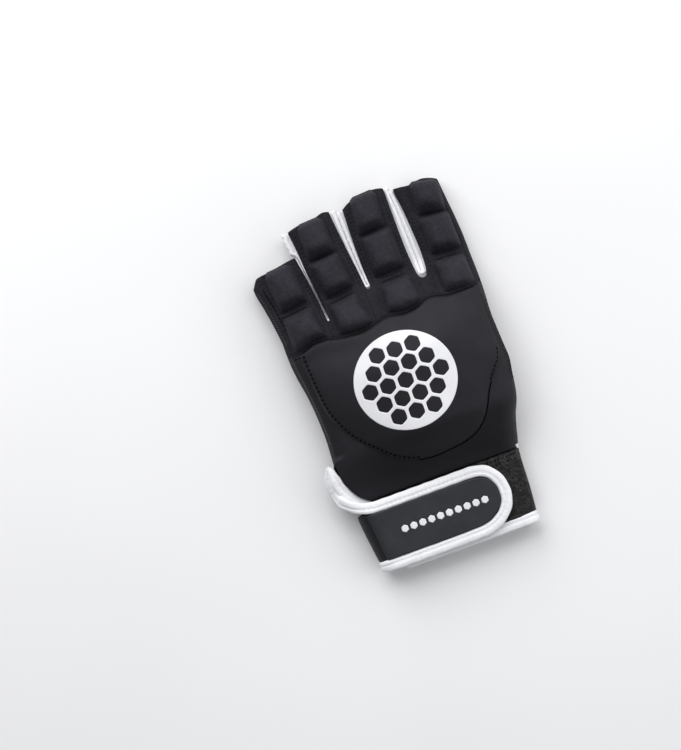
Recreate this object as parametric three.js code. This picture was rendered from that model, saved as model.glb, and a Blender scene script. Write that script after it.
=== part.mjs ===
// Field hockey glove, half-finger, for the left hand. It lies palm down with its thumb folded under the palm.
// Millimetres. +Y runs from the wrist to the fingertips, +X towards the thumb side, +Z up.
// The tables are written from a datum on the back of the hand. The last lines move the glove so that its
// origin is the middle of its footprint.

import * as THREE from 'three';

// Driving sizes
const GAP = 0.3;
const PALM_THICK = 1.4;
const BACK_THICK = 2.6;
const KNIT_THICK = 2.0;
const LOOP_THICK = 2.0;
const GUSSET_THICK = 1.0;
const STRAP_THICK = 2.4;
const LABEL_THICK = 0.8;
const TAPE = { width: 6, thick: 3.2, flatThick: 2.6 };
const PAD_HEIGHT = 8.2;
const PAD_SLACK = 0.4;
const THUMB = { padHeight: 3.8, backThick: 1.8, palmThick: 1.3, room: 5.9, edgeRise: 0.8 };
const SHIELD = { edge: 1.4, rise: 4.6, slack: 0.15, length: 74 };
const CENTRE = { x: -13.8, y: 6.8 };

// How far the palm is lifted off the table: an arch along Y that leans down to the little-finger side
const ARCH = {
  wrist: -50,
  wristTop: -20,
  fingerTop: 22,
  finger: 62,
  left: -64,
  right: -4,
  leftLift: 4,
  lift: 13.6,
};

// Height of the empty space inside, from the wrist to the fingertips
const ROOM = [
  { y: -90, room: 10.4 },
  { y: -48, room: 10.4 },
  { y: -15, room: 9.8 },
  { y: 22, room: 9.8 },
  { y: 50, room: 9.4 },
  { y: 65, room: 9.0 },
  { y: 104, room: 8.4 },
];
const CROWN = { height: 2, halfWidth: 54 };
const SEAM = { rise: 5, backRoll: 9, palmRoll: 7 };
const WEB = { palmCurl: 1.0, backDrop: 2.0, roll: 3, run: 9 };

// Sections of the hand from the wrist up: left edges of the palm and of the back, right edge, and how far the
// palm stops short of it where the thumb leaves
const HAND = [
  { y: -83.7, palmLeft: -44.0, backLeft: -46.0, right: 28.7, inset: 0 },
  { y: -70.0, palmLeft: -44.0, backLeft: -46.0, right: 29.9, inset: 0 },
  { y: -54.6, palmLeft: -44.0, backLeft: -46.6, right: 30.6, inset: 0 },
  { y: -52.4, palmLeft: -56.5, backLeft: -47.6, right: 30.8, inset: 0 },
  { y: -48.8, palmLeft: -59.8, backLeft: -49.8, right: 31.1, inset: 0 },
  { y: -44.0, palmLeft: -62.4, backLeft: -55.4, right: 31.9, inset: 3 },
  { y: -38.0, palmLeft: -64.0, backLeft: -58.4, right: 33.0, inset: 7 },
  { y: -31.0, palmLeft: -64.2, backLeft: -60.2, right: 34.8, inset: 7 },
  { y: -25.0, palmLeft: -61.6, backLeft: -60.9, right: 37.5, inset: 7 },
  { y: -20.0, palmLeft: -61.3, backLeft: -61.3, right: 39.3, inset: 7 },
  { y: -10.0, palmLeft: -60.8, backLeft: -60.8, right: 40.9, inset: 7 },
  { y: -2.0, palmLeft: -61.0, backLeft: -61.0, right: 42.0, inset: 7 },
  { y: 5.0, palmLeft: -61.4, backLeft: -61.4, right: 41.6, inset: 2 },
  { y: 14.0, palmLeft: -62.3, backLeft: -62.3, right: 41.1, inset: 0 },
  { y: 25.0, palmLeft: -63.6, backLeft: -63.6, right: 40.7, inset: 0 },
  { y: 34.0, palmLeft: -64.5, backLeft: -64.5, right: 41.1, inset: 0 },
  { y: 50.0, palmLeft: -65.8, backLeft: -65.8, right: 42.1, inset: 0 },
];

const CUFF_TOP = -48.8;

// Side edges of each finger, from its root to its tip
const EDGES = {
  little: [
    { y: 40, left: -64.7, right: -39.4 },
    { y: 46, left: -65.3, right: -39.7 },
    { y: 54, left: -66.3, right: -40.5 },
    { y: 64, left: -67.9, right: -41.8 },
    { y: 75, left: -69.8, right: -43.4 },
    { y: 84, left: -69.2, right: -44.8 },
  ],
  ring: [
    { y: 46, left: -38.0, right: -14.6 },
    { y: 55, left: -38.9, right: -15.2 },
    { y: 65, left: -39.8, right: -16.0 },
    { y: 75, left: -40.9, right: -17.3 },
    { y: 85, left: -41.7, right: -18.4 },
    { y: 99, left: -43.2, right: -19.8 },
  ],
  middle: [
    { y: 51, left: -11.6, right: 14.0 },
    { y: 55, left: -11.8, right: 12.2 },
    { y: 60, left: -12.2, right: 11.8 },
    { y: 70, left: -12.6, right: 11.2 },
    { y: 85, left: -12.5, right: 11.0 },
    { y: 102, left: -12.0, right: 10.9 },
  ],
  index: [
    { y: 50, left: 16.9, right: 42.1 },
    { y: 57, left: 18.6, right: 42.1 },
    { y: 65, left: 19.0, right: 42.0 },
    { y: 77, left: 18.4, right: 41.2 },
    { y: 87, left: 17.7, right: 40.2 },
    { y: 98, left: 16.3, right: 39.2 },
  ],
};

// Where each finger starts and ends, from its left edge to its right edge
const ACROSS = [0, 0.12, 0.36, 0.64, 0.88, 1];
const FINGERS = [
  { name: 'little', base: [44, 44.4, 45, 45.6, 46, 46], tip: [76.5, 80.4, 81, 82.2, 83, 83.5] },
  { name: 'ring', base: [46, 46.8, 49.5, 52.5, 54.8, 55], tip: [97.3, 98, 99, 99.4, 100.7, 100.3] },
  { name: 'middle', base: [55, 54.8, 53.5, 52.2, 51.2, 51], tip: [98.8, 100.5, 102.4, 103.4, 102.5, 101.6] },
  { name: 'index', base: [51, 51, 50.8, 50.5, 50.2, 50], tip: [99.6, 99.4, 99, 100, 98.4, 96.6] },
];
const ALONG = [0, 0.14, 0.3, 0.48, 0.66, 0.84, 1];

// The scalloped seam under the last row of pads
const KNUCKLES = [
  { x: -65, y: 35.5 }, { x: -58, y: 36 }, { x: -50, y: 38.5 }, { x: -44, y: 38.5 }, { x: -37, y: 36.8 },
  { x: -25, y: 35.8 }, { x: -15, y: 38 }, { x: -10, y: 39 }, { x: 0, y: 37.5 }, { x: 5, y: 38 },
  { x: 14, y: 41 }, { x: 25, y: 38.8 }, { x: 35, y: 38.5 }, { x: 43, y: 40.2 },
];

// Foam blocks on the finger backs: left, right, lower and upper edge
const PADS = [
  { name: 'pad_little_1', x0: -63, x1: -47, y0: 59, y1: 80 },
  { name: 'pad_little_2', x0: -61, x1: -44.5, y0: 40, y1: 56.5 },
  { name: 'pad_ring_1', x0: -39.5, x1: -23.5, y0: 79.5, y1: 98.5 },
  { name: 'pad_ring_2', x0: -38, x1: -21, y0: 60, y1: 77.5 },
  { name: 'pad_ring_3', x0: -36, x1: -20, y0: 38.5, y1: 56.5 },
  { name: 'pad_middle_1', x0: -9.5, x1: 6.2, y0: 83, y1: 101.5 },
  { name: 'pad_middle_2', x0: -9.5, x1: 8, y0: 60, y1: 81 },
  { name: 'pad_middle_3', x0: -8, x1: 8.5, y0: 40, y1: 56 },
  { name: 'pad_index_1', x0: 23.5, x1: 38, y0: 81.5, y1: 98.6 },
  { name: 'pad_index_2', x0: 23.5, x1: 39, y0: 60.5, y1: 79.5 },
  { name: 'pad_index_3', x0: 22.5, x1: 39, y0: 41, y1: 56.5 },
];

// Left and right edge of the shield cover
const SHIELD_ROWS = [
  { y: -36.9, left: -19.0, right: -4.0 },
  { y: -34.5, left: -25.5, right: 10.0 },
  { y: -31.0, left: -31.0, right: 16.4 },
  { y: -25.0, left: -38.2, right: 20.6 },
  { y: -20.0, left: -43.3, right: 23.8 },
  { y: -10.0, left: -51.2, right: 29.8 },
  { y: -2.0, left: -55.2, right: 36.0 },
  { y: 5.0, left: -57.0, right: 37.3 },
  { y: 14.0, left: -58.0, right: 37.4 },
  { y: 25.0, left: -58.8, right: 37.2 },
  { y: 34.0, left: -59.2, right: 37.5 },
];

// Strap from the palm side round the little-finger edge and over the back: its middle surface at its lower
// edge and at its upper edge
const STRAP_Z = 15.8;
const STRAP = [
  { x0: -44.4, y0: -80.2, x1: -44.4, y1: -55.2, z: 1.25 },
  { x0: -50.5, y0: -80.2, x1: -52.0, y1: -55.2, z: 1.25 },
  { x0: -54.6, y0: -80.2, x1: -57.2, y1: -55.4, z: 2.9 },
  { x0: -56.2, y0: -80.2, x1: -59.1, y1: -55.6, z: 6.8 },
  { x0: -55.4, y0: -80.2, x1: -58.2, y1: -55.6, z: 11.5 },
  { x0: -52.0, y0: -80.2, x1: -54.5, y1: -55.6, z: 14.8 },
  { x0: -47.0, y0: -80.2, x1: -49.0, y1: -55.6, z: STRAP_Z },
  { x0: -30.0, y0: -80.2, x1: -30.0, y1: -55.6, z: STRAP_Z },
  { x0: -12.0, y0: -80.2, x1: -12.0, y1: -55.6, z: STRAP_Z },
  { x0: 0.0, y0: -79.7, x1: 0.0, y1: -55.8, z: STRAP_Z },
  { x0: 5.0, y0: -78.2, x1: 5.0, y1: -57.0, z: STRAP_Z },
  { x0: 9.0, y0: -75.6, x1: 9.0, y1: -58.8, z: STRAP_Z },
  { x0: 12.0, y0: -72.2, x1: 12.0, y1: -61.4, z: STRAP_Z },
  { x0: 13.4, y0: -68.6, x1: 13.4, y1: -64.0, z: STRAP_Z },
];
const LABEL_FROM = 5;

// Centre line of the strap's tape: up from the palm side, round the tip, and on to the top of the slit. The
// last three columns are the way that the tape's face looks.
const TAPE_Z = 16.3;
const STRAP_TAPE = [
  { x: -44.6, y: -83.5, z: 1.7, fx: 0, fy: 0, fz: -1 },
  { x: -50.4, y: -83.5, z: 1.7, fx: -0.1, fy: 0, fz: -1 },
  { x: -54.3, y: -83.5, z: 3.3, fx: -0.8, fy: 0, fz: -0.7 },
  { x: -56.1, y: -83.5, z: 7.2, fx: -1, fy: 0, fz: 0 },
  { x: -55.2, y: -83.5, z: 12.0, fx: -0.9, fy: 0, fz: 0.5 },
  { x: -52.0, y: -83.5, z: 15.3, fx: -0.5, fy: 0, fz: 0.9 },
  { x: -46.5, y: -83.5, z: TAPE_Z, fx: 0, fy: 0, fz: 1 },
  { x: -25, y: -83.5, z: TAPE_Z, fx: 0, fy: 0, fz: 1 },
  { x: -5, y: -83.3, z: TAPE_Z, fx: 0, fy: 0, fz: 1 },
  { x: 2.5, y: -82.8, z: TAPE_Z, fx: 0, fy: 0, fz: 1 },
  { x: 7.8, y: -81.0, z: TAPE_Z, fx: 0, fy: 0, fz: 1 },
  { x: 12.2, y: -78.0, z: TAPE_Z, fx: 0, fy: 0, fz: 1 },
  { x: 15.4, y: -74.0, z: TAPE_Z, fx: 0, fy: 0, fz: 1 },
  { x: 16.8, y: -69.5, z: TAPE_Z, fx: 0, fy: 0, fz: 1 },
  { x: 16.9, y: -65.2, z: TAPE_Z, fx: 0, fy: 0, fz: 1 },
  { x: 15.8, y: -61.2, z: TAPE_Z, fx: 0, fy: 0, fz: 1 },
  { x: 13.0, y: -57.4, z: TAPE_Z, fx: 0, fy: 0, fz: 1 },
  { x: 9.4, y: -54.6, z: TAPE_Z, fx: 0, fy: 0, fz: 1 },
  { x: 4.5, y: -52.8, z: TAPE_Z, fx: 0, fy: 0, fz: 1 },
  { x: -2, y: -52.2, z: TAPE_Z, fx: 0, fy: 0, fz: 1 },
  { x: -24, y: -52.3, z: TAPE_Z, fx: 0, fy: 0, fz: 1 },
  { x: -46, y: -52.3, z: TAPE_Z, fx: 0, fy: 0, fz: 1 },
  { x: -52, y: -51.8, z: 16.6, fx: -0.1, fy: 0.1, fz: 1 },
  { x: -57, y: -50.3, z: 15.9, fx: -0.35, fy: 0.1, fz: 0.9 },
  { x: -61, y: -47.9, z: 15.4, fx: -0.6, fy: 0, fz: 0.8 },
  { x: -64.8, y: -44.4, z: 13.9, fx: -0.7, fy: 0, fz: 0.7 },
  { x: -66.5, y: -39.6, z: 10.6, fx: -0.8, fy: 0, fz: 0.6 },
  { x: -67.3, y: -34.2, z: 9.8, fx: -0.8, fy: 0.1, fz: 0.6 },
  { x: -66.7, y: -29.4, z: 9.6, fx: -0.7, fy: 0.2, fz: 0.7 },
  { x: -65.0, y: -25.8, z: 9.6, fx: -0.6, fy: 0.3, fz: 0.7 },
];

// Centre line of the tape on the slit's back edge, in plan; its height follows the back
const SLIT_TAPE = [
  { x: -63.7, y: -26.0 }, { x: -63.4, y: -31.0 }, { x: -62.0, y: -37.6 }, { x: -59.1, y: -43.2 },
  { x: -55.0, y: -48.2 }, { x: -51.4, y: -51.6 }, { x: -49.4, y: -56.0 }, { x: -48.8, y: -64.0 },
  { x: -48.7, y: -82.6 },
];
const SLIT_TAPE_WIDTH = 4.6;
const SLIT_TAPE_DROP = 0.9;

// Tape round the mouth of the cuff: its places over the back and back along the palm
const CUFF_TAPE = {
  over: [-45.8, -30, -10, 8, 18, 22, 25, 27.2],
  under: [26.4, 23.6, 19, 8, -12, -30, -43.6],
  highest: 12.9,
  sideIn: 0.4,
};

// Thumb: lower left and upper right end of each section, from the fold at the glove's right edge to the tip
const THUMB_FOLD = {
  from: -37,
  to: -1.5,
  levels: [{ down: 0, in: 0 }, { down: 0.5, in: -0.5 }, { down: 0.88, in: 1.4 }],
};
const THUMB_ROWS = [
  { x0: 24.6, y0: -30.6, x1: 35.0, y1: 5.4, rise: 0 },
  { x0: 15.4, y0: -23.0, x1: 27.8, y1: 13.2, rise: 0 },
  { x0: 5.4, y0: -13.4, x1: 20.6, y1: 20.8, rise: 0 },
  { x0: -3.4, y0: -2.8, x1: 14.4, y1: 27.4, rise: 0 },
  { x0: -10.2, y0: 8.2, x1: 7.6, y1: 33.4, rise: 0 },
  { x0: -14.2, y0: 19.6, x1: 0.2, y1: 36.2, rise: 0.2 },
  { x0: -13.6, y0: 27.2, x1: -6.2, y1: 34.6, rise: 0.8 },
];
const THUMB_ACROSS = [0, 0.09, 0.26, 0.5, 0.74, 0.91, 1];
const THUMB_PADS = [
  { name: 'thumb_pad_1', x: -0.6, y: 20.2, width: 21, length: 17, turn: 40 },
  { name: 'thumb_pad_2', x: 13.6, y: 0.6, width: 25, length: 20, turn: 40 },
];

// Small arithmetic
const lerp = THREE.MathUtils.lerp;
const clamp = THREE.MathUtils.clamp;
const ramp = (value, from, to) => THREE.MathUtils.smoothstep(value, from, to);
const roll = (distance, radius) => Math.sqrt(1 - (1 - clamp(distance / radius, 0, 1)) ** 2);

function lookUp(table, key, column, value) {
  const last = table.length - 1;
  let i = 0;
  while (i < last - 1 && value > table[i + 1][key]) i += 1;
  const t = clamp((value - table[i][key]) / (table[i + 1][key] - table[i][key]), 0, 1);
  return lerp(table[i][column], table[i + 1][column], t);
}

// Closed meshes
function solid(vertices, faces) {
  const geometry = new THREE.BufferGeometry();
  const numbers = vertices.flatMap((p) => [p.x, p.y, p.z]);
  geometry.setAttribute('position', new THREE.Float32BufferAttribute(numbers, 3));
  geometry.setIndex(faces.flat());
  return geometry;
}

// A grid of places as a closed sheet. place(c, r) gives its upper and lower point. Where present(c, r) is
// false the cell is left open, and every free edge gets a wall.
function sheet(columns, rows, place, present = () => true) {
  const vertices = [];
  const index = [];
  for (let r = 0; r < rows; r += 1) {
    for (let c = 0; c < columns; c += 1) {
      const { upper, lower } = place(c, r);
      index.push(vertices.length);
      vertices.push(upper, lower);
    }
  }
  const at = (c, r) => index[r * columns + c];
  const has = (c, r) => c >= 0 && r >= 0 && c < columns - 1 && r < rows - 1 && present(c, r);
  const faces = [];
  const wall = (a, b) => faces.push([a, b, b + 1], [a, b + 1, a + 1]);
  for (let r = 0; r < rows - 1; r += 1) {
    for (let c = 0; c < columns - 1; c += 1) {
      if (!has(c, r)) continue;
      const [p, q, s, t] = [at(c, r), at(c + 1, r), at(c + 1, r + 1), at(c, r + 1)];
      faces.push([p, q, s], [p, s, t], [p + 1, s + 1, q + 1], [p + 1, t + 1, s + 1]);
      if (!has(c, r - 1)) wall(q, p);
      if (!has(c + 1, r)) wall(s, q);
      if (!has(c, r + 1)) wall(t, s);
      if (!has(c - 1, r)) wall(p, t);
    }
  }
  return solid(vertices, faces);
}

// A curved sheet of even thickness about a middle surface, given as rows of points
function thickSheet(grid, thickness, offset = 0) {
  const rows = grid.length;
  const columns = grid[0].length;
  const normal = (c, r) => {
    const across = grid[r][Math.min(c + 1, columns - 1)].clone().sub(grid[r][Math.max(c - 1, 0)]);
    const along = grid[Math.min(r + 1, rows - 1)][c].clone().sub(grid[Math.max(r - 1, 0)][c]);
    return across.cross(along).normalize();
  };
  return sheet(columns, rows, (c, r) => {
    const n = normal(c, r);
    const middle = grid[r][c].clone().addScaledVector(n, offset);
    return {
      upper: middle.clone().addScaledVector(n, thickness / 2),
      lower: middle.clone().addScaledVector(n, -thickness / 2),
    };
  });
}

// Direction of a line of points at one of them
function heading(points, i) {
  return points[Math.min(i + 1, points.length - 1)].clone().sub(points[Math.max(i - 1, 0)]).normalize();
}

// A flat rounded tape swept along a line. looks gives the way its broad side faces at each point.
const TAPE_SECTION = [
  [-0.5, 0], [-0.43, 0.5], [-0.15, 0.5], [0.15, 0.5], [0.43, 0.5], [0.5, 0], [0.4, -0.5], [-0.4, -0.5],
];

function tape(points, looks, width, thick) {
  const vertices = [];
  const faces = [];
  const sides = TAPE_SECTION.length;
  points.forEach((point, i) => {
    const along = heading(points, i);
    const across = along.clone().cross(looks[i]).normalize();
    const out = across.clone().cross(along).normalize();
    for (const [u, v] of TAPE_SECTION) {
      vertices.push(point.clone().addScaledVector(across, u * width).addScaledVector(out, v * thick));
    }
  });
  for (let i = 0; i < points.length - 1; i += 1) {
    for (let k = 0; k < sides; k += 1) {
      const a = i * sides + k;
      const b = i * sides + ((k + 1) % sides);
      faces.push([a, b, b + sides], [a, b + sides, a + sides]);
    }
  }
  const end = (points.length - 1) * sides;
  for (let k = 1; k < sides - 1; k += 1) {
    faces.push([0, k + 1, k], [end, end + k, end + k + 1]);
  }
  return solid(vertices, faces);
}

// A rounded block on a surface: rings of a rounded rectangle that close over the top
const BLOCK_RINGS = [
  { grow: -0.9, height: 0 },
  { grow: 0, height: 0.22 },
  { grow: -0.3, height: 0.6 },
  { grow: -1.5, height: 0.86 },
  { grow: -3.8, height: 0.98 },
];
const CORNER = 3.4;
const CORNER_STEPS = 3;

function blockRing(halfX, halfY, corner) {
  const ring = [];
  for (let q = 0; q < 4; q += 1) {
    const sx = q === 0 || q === 3 ? 1 : -1;
    const sy = q < 2 ? 1 : -1;
    for (let k = 0; k < CORNER_STEPS; k += 1) {
      const angle = (q + k / (CORNER_STEPS - 1)) * (Math.PI / 2);
      const x = sx * (halfX - corner) + corner * Math.cos(angle);
      const y = sy * (halfY - corner) + corner * Math.sin(angle);
      ring.push([x, y]);
    }
  }
  return ring;
}

function block(halfX, halfY, height, settle) {
  const vertices = [];
  const faces = [];
  for (const { grow, height: part } of BLOCK_RINGS) {
    const corner = Math.max(CORNER + grow, 0.8);
    for (const [x, y] of blockRing(halfX + grow, halfY + grow, corner)) {
      vertices.push(settle(x, y, height * part));
    }
  }
  const sides = CORNER_STEPS * 4;
  for (let i = 0; i < BLOCK_RINGS.length - 1; i += 1) {
    for (let k = 0; k < sides; k += 1) {
      const a = i * sides + k;
      const b = i * sides + ((k + 1) % sides);
      faces.push([a, b, b + sides], [a, b + sides, a + sides]);
    }
  }
  const top = vertices.length;
  vertices.push(settle(0, 0, height), settle(0, 0, 0));
  const last = (BLOCK_RINGS.length - 1) * sides;
  for (let k = 0; k < sides; k += 1) {
    const next = (k + 1) % sides;
    faces.push([last + k, last + next, top], [next, k, top + 1]);
  }
  return solid(vertices, faces);
}

// Surfaces of the glove
function underside(x, y) {
  const along = ramp(y, ARCH.wrist, ARCH.wristTop) * (1 - ramp(y, ARCH.fingerTop, ARCH.finger));
  const across = ramp(x, ARCH.left, ARCH.right);
  return along * lerp(ARCH.leftLift, ARCH.lift, across);
}

// Levels of the palm and of the back at a point. side is the distance to the side seam, web the distance to
// the nearest finger gap and webFrom the distance up from that gap's crotch.
function levels(x, y, side, web, webFrom) {
  const opened = ramp(webFrom, 0, WEB.run);
  const nearWeb = opened * (1 - roll(web, WEB.roll));
  const seamCurl = SEAM.rise * (1 - roll(side.palm, SEAM.palmRoll));
  const palmLow = underside(x, y) + seamCurl + WEB.palmCurl * nearWeb;
  const palmHigh = palmLow + PALM_THICK;
  const crowned = ramp(y, ARCH.wrist, ARCH.wristTop) * (1 - ramp(y, 40, 60));
  const crown = CROWN.height * crowned * (1 - ((x - CENTRE.x) / CROWN.halfWidth) ** 2);
  const full = lookUp(ROOM, 'y', 'room', y) + Math.max(crown, 0);
  const floor = underside(x, y) + PALM_THICK + GAP;
  const seamed = floor + SEAM.rise;
  const open = floor + full - WEB.backDrop * nearWeb;
  const backLow = lerp(seamed, open, roll(side.back, SEAM.backRoll));
  return { palmLow, palmHigh, backLow };
}

const COLUMNS = FINGERS.length * ACROSS.length;
const fingerOf = (c) => FINGERS[Math.floor(c / ACROSS.length)];
const edgeX = (finger, edge, y) => lookUp(EDGES[finger.name], 'y', edge, y);

function baseY(c) {
  return fingerOf(c).base[c % ACROSS.length];
}

function baseX(c) {
  const finger = fingerOf(c);
  const y = baseY(c);
  return lerp(edgeX(finger, 'left', y), edgeX(finger, 'right', y), ACROSS[c % ACROSS.length]);
}

const BASE_LEFT = baseX(0);
const BASE_RIGHT = baseX(COLUMNS - 1);
const handFraction = (c) => (baseX(c) - BASE_LEFT) / (BASE_RIGHT - BASE_LEFT);

// Distances that shape the hand below the fingers
function handPoint(x, y, leftEdge, rightEdge) {
  const seamX = lookUp(HAND, 'y', 'right', y);
  const palmSeam = ramp(y, -54.4, -49);
  const backSeam = ramp(y, -33, -21);
  const fromLeft = x - leftEdge;
  const fromRight = seamX - x;
  return levels(x, y, {
    palm: Math.min(fromRight, lerp(99, fromLeft, palmSeam)),
    back: Math.min(fromRight, lerp(99, fromLeft, backSeam)),
  }, 99, 0);
}

function fingerPoint(x, y, finger, c) {
  const fromLeft = x - edgeX(finger, 'left', y);
  const fromRight = edgeX(finger, 'right', y) - x;
  const outerLeft = finger.name === 'little';
  const outerRight = finger.name === 'index';
  const seam = Math.min(outerLeft ? fromLeft : 99, outerRight ? fromRight : 99);
  const web = Math.min(outerLeft ? 99 : fromLeft, outerRight ? 99 : fromRight);
  return levels(x, y, { palm: seam, back: seam }, web, y - baseY(c));
}

// One place on a row of the hand or of the fingers. A row is { y }, { seam } above the knuckle seam, or { v }
// along the fingers.
function rowPlace(row, c, side) {
  if ('v' in row) {
    const finger = fingerOf(c);
    const i = c % ACROSS.length;
    const y = lerp(finger.base[i], finger.tip[i], row.v);
    const x = lerp(edgeX(finger, 'left', y), edgeX(finger, 'right', y), ACROSS[i]);
    return { x, y, level: fingerPoint(x, y, finger, c) };
  }
  const guess = row.y ?? 38;
  const leftEdge = lookUp(HAND, 'y', side === 'palm' ? 'palmLeft' : 'backLeft', guess);
  const inset = side === 'palm' ? lookUp(HAND, 'y', 'inset', guess) : 0;
  const rightEdge = lookUp(HAND, 'y', 'right', guess) - inset;
  const x = lerp(leftEdge, rightEdge, handFraction(c));
  const y = row.y ?? lookUp(KNUCKLES, 'x', 'y', x) + row.seam;
  return { x, y, level: handPoint(x, y, leftEdge, rightEdge) };
}

const FINGER_ROWS = ALONG.map((v) => ({ v }));
const inGap = (c) => c % ACROSS.length === ACROSS.length - 1;

function handSheet(rows, side, thickness) {
  const firstFinger = rows.findIndex((row) => 'v' in row);
  const place = (c, r) => {
    const { x, y, level } = rowPlace(rows[r], c, side);
    const low = side === 'palm' ? level.palmLow : level.backLow;
    return { upper: new THREE.Vector3(x, y, low + thickness), lower: new THREE.Vector3(x, y, low) };
  };
  const present = (c, r) => firstFinger < 0 || r < firstFinger || !inGap(c);
  return sheet(COLUMNS, rows.length, place, present);
}

// Upper surface of the back at any place on the hand or on a finger
function backTop(x, y) {
  for (const finger of FINGERS) {
    const left = edgeX(finger, 'left', y);
    const right = edgeX(finger, 'right', y);
    if (y > 50 && x >= left && x <= right) {
      const c = FINGERS.indexOf(finger) * ACROSS.length + 3;
      return fingerPoint(x, y, finger, c).backLow + KNIT_THICK;
    }
  }
  const leftEdge = lookUp(HAND, 'y', 'backLeft', y);
  const rightEdge = lookUp(HAND, 'y', 'right', y);
  const knit = y > lookUp(KNUCKLES, 'x', 'y', x);
  return handPoint(x, y, leftEdge, rightEdge).backLow + (knit ? KNIT_THICK : BACK_THICK);
}

// Pieces
function palmPanel() {
  const rows = HAND.slice(0, -1).map(({ y }) => ({ y }));
  return handSheet([...rows, ...FINGER_ROWS], 'palm', PALM_THICK);
}

function fingerBack() {
  return handSheet([{ seam: GAP / 2 }, ...FINGER_ROWS], 'back', KNIT_THICK);
}

function handBack() {
  const rows = HAND.filter(({ y }) => y > CUFF_TOP && y < 38).map(({ y }) => ({ y }));
  return handSheet([{ y: CUFF_TOP + GAP }, ...rows, { seam: -GAP / 2 }], 'back', BACK_THICK);
}

function cuffLoopPanel() {
  const rows = HAND.filter(({ y }) => y <= CUFF_TOP).map(({ y }) => ({ y }));
  return handSheet(rows, 'back', LOOP_THICK);
}

function shieldCover() {
  const across = [-1, -0.93, -0.8, -0.6, -0.4, -0.2, 0, 0.25, 0.5, 0.75, 0.93, 1];
  const rows = [...SHIELD_ROWS, { left: -59.4, right: 37.6, y: null }];
  return sheet(across.length, rows.length, (c, r) => {
    const { left, right, y: level } = rows[r];
    const u = across[c];
    const x = lerp(left, right, (u + 1) / 2);
    const y = level ?? lookUp(KNUCKLES, 'x', 'y', x) - 0.8;
    const v = clamp((y - SHIELD_ROWS[0].y) / SHIELD.length, 0, 1);
    const bulge = Math.sqrt((1 - Math.abs(u) ** 2.6) * (1 - Math.abs(2 * v - 1) ** 3));
    const low = backTop(x, y) + GAP + SHIELD.slack * (1 + u ** 4);
    return {
      upper: new THREE.Vector3(x, y, low + SHIELD.edge + SHIELD.rise * bulge),
      lower: new THREE.Vector3(x, y, low),
    };
  });
}

function fingerPad({ x0, x1, y0, y1 }) {
  const centreX = (x0 + x1) / 2;
  const centreY = (y0 + y1) / 2;
  return block((x1 - x0) / 2, (y1 - y0) / 2, PAD_HEIGHT, (x, y, height) => {
    const px = centreX + x;
    const py = centreY + y;
    return new THREE.Vector3(px, py, backTop(px, py) + GAP + PAD_SLACK + height);
  });
}

// White gusset round a finger gap: down the side of one finger, round the crotch and up the side of the next
const TUCK = 1.1;
const FREE_BULGE = 4;

function gusset(leftFinger, rightFinger) {
  const crotch = leftFinger.base.at(-1);
  const legSteps = 6;
  const path = [];
  const legTop = { left: leftFinger.tip.at(-1) - 0.4, right: rightFinger.tip[0] - 0.4 };
  const gapAt = (y) => edgeX(rightFinger, 'left', y) - edgeX(leftFinger, 'right', y);
  const radius = Math.max(gapAt(crotch + 1.5) / 2, 1.1);
  const legBulge = (y) => {
    if (y > Math.min(legTop.left, legTop.right) + 2) return FREE_BULGE;
    return Math.max((gapAt(y) - 0.5 - GUSSET_THICK) / 2, 0);
  };
  const foot = crotch + 1.2;
  for (let i = 0; i <= legSteps; i += 1) {
    const y = lerp(legTop.left, foot + radius, i / legSteps);
    const x = edgeX(leftFinger, 'right', y);
    path.push({ x, y, outX: 1, outY: 0, bulge: legBulge(y), finger: leftFinger });
  }
  const middle = (edgeX(leftFinger, 'right', foot) + edgeX(rightFinger, 'left', foot)) / 2;
  const halfGap = gapAt(foot + radius) / 2;
  for (const turn of [40, 90, 140]) {
    const angle = THREE.MathUtils.degToRad(turn);
    const x = middle - halfGap * Math.cos(angle);
    const y = foot + radius - radius * Math.sin(angle);
    path.push({ x, y, outX: Math.cos(angle), outY: Math.sin(angle), bulge: 0.1, finger: null });
  }
  for (let i = 0; i <= legSteps; i += 1) {
    const y = lerp(foot + radius, legTop.right, i / legSteps);
    const x = edgeX(rightFinger, 'left', y);
    path.push({ x, y, outX: -1, outY: 0, bulge: legBulge(y), finger: rightFinger });
  }
  const profile = [
    { out: -TUCK, level: 1 }, { out: 0.5, level: 0.86 }, { out: 1, level: 0.5 }, { out: 0.5, level: 0.14 },
    { out: -TUCK, level: 0 },
  ];
  const grid = path.map(({ x, y, outX, outY, bulge, finger }) => {
    const near = finger ?? leftFinger;
    const c = FINGERS.indexOf(near) * ACROSS.length;
    const inside = finger === rightFinger ? 0.02 : -0.02;
    const level = finger
      ? fingerPoint(x + inside, y, near, c + (finger === leftFinger ? 5 : 0))
      : fingerPoint(edgeX(leftFinger, 'right', y) - 0.02, y, leftFinger, c + 5);
    const slack = lerp(0.9, 0.2, ramp(y, foot, foot + 12));
    const bottom = level.palmHigh + GAP + GUSSET_THICK / 2 + 0.2;
    const top = level.backLow - GAP - GUSSET_THICK / 2 - slack;
    return profile.map(({ out, level: part }) => {
      const reach = out < 0 ? out : out * bulge;
      return new THREE.Vector3(x + outX * reach, y + outY * reach, lerp(bottom, top, part));
    });
  });
  return thickSheet(grid, GUSSET_THICK);
}

function strapGrid(rows) {
  const across = [0, 0.25, 0.5, 0.75, 1];
  return rows.map(({ x0, y0, x1, y1, z }) => across.map((t) => {
    return new THREE.Vector3(lerp(x0, x1, t), lerp(y0, y1, t), z);
  }));
}

function strapBinding() {
  const points = STRAP_TAPE.map(({ x, y, z }) => new THREE.Vector3(x, y, z));
  const looks = STRAP_TAPE.map(({ fx, fy, fz }) => new THREE.Vector3(fx, fy, fz));
  return tape(points, looks, TAPE.width, TAPE.thick);
}

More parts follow.
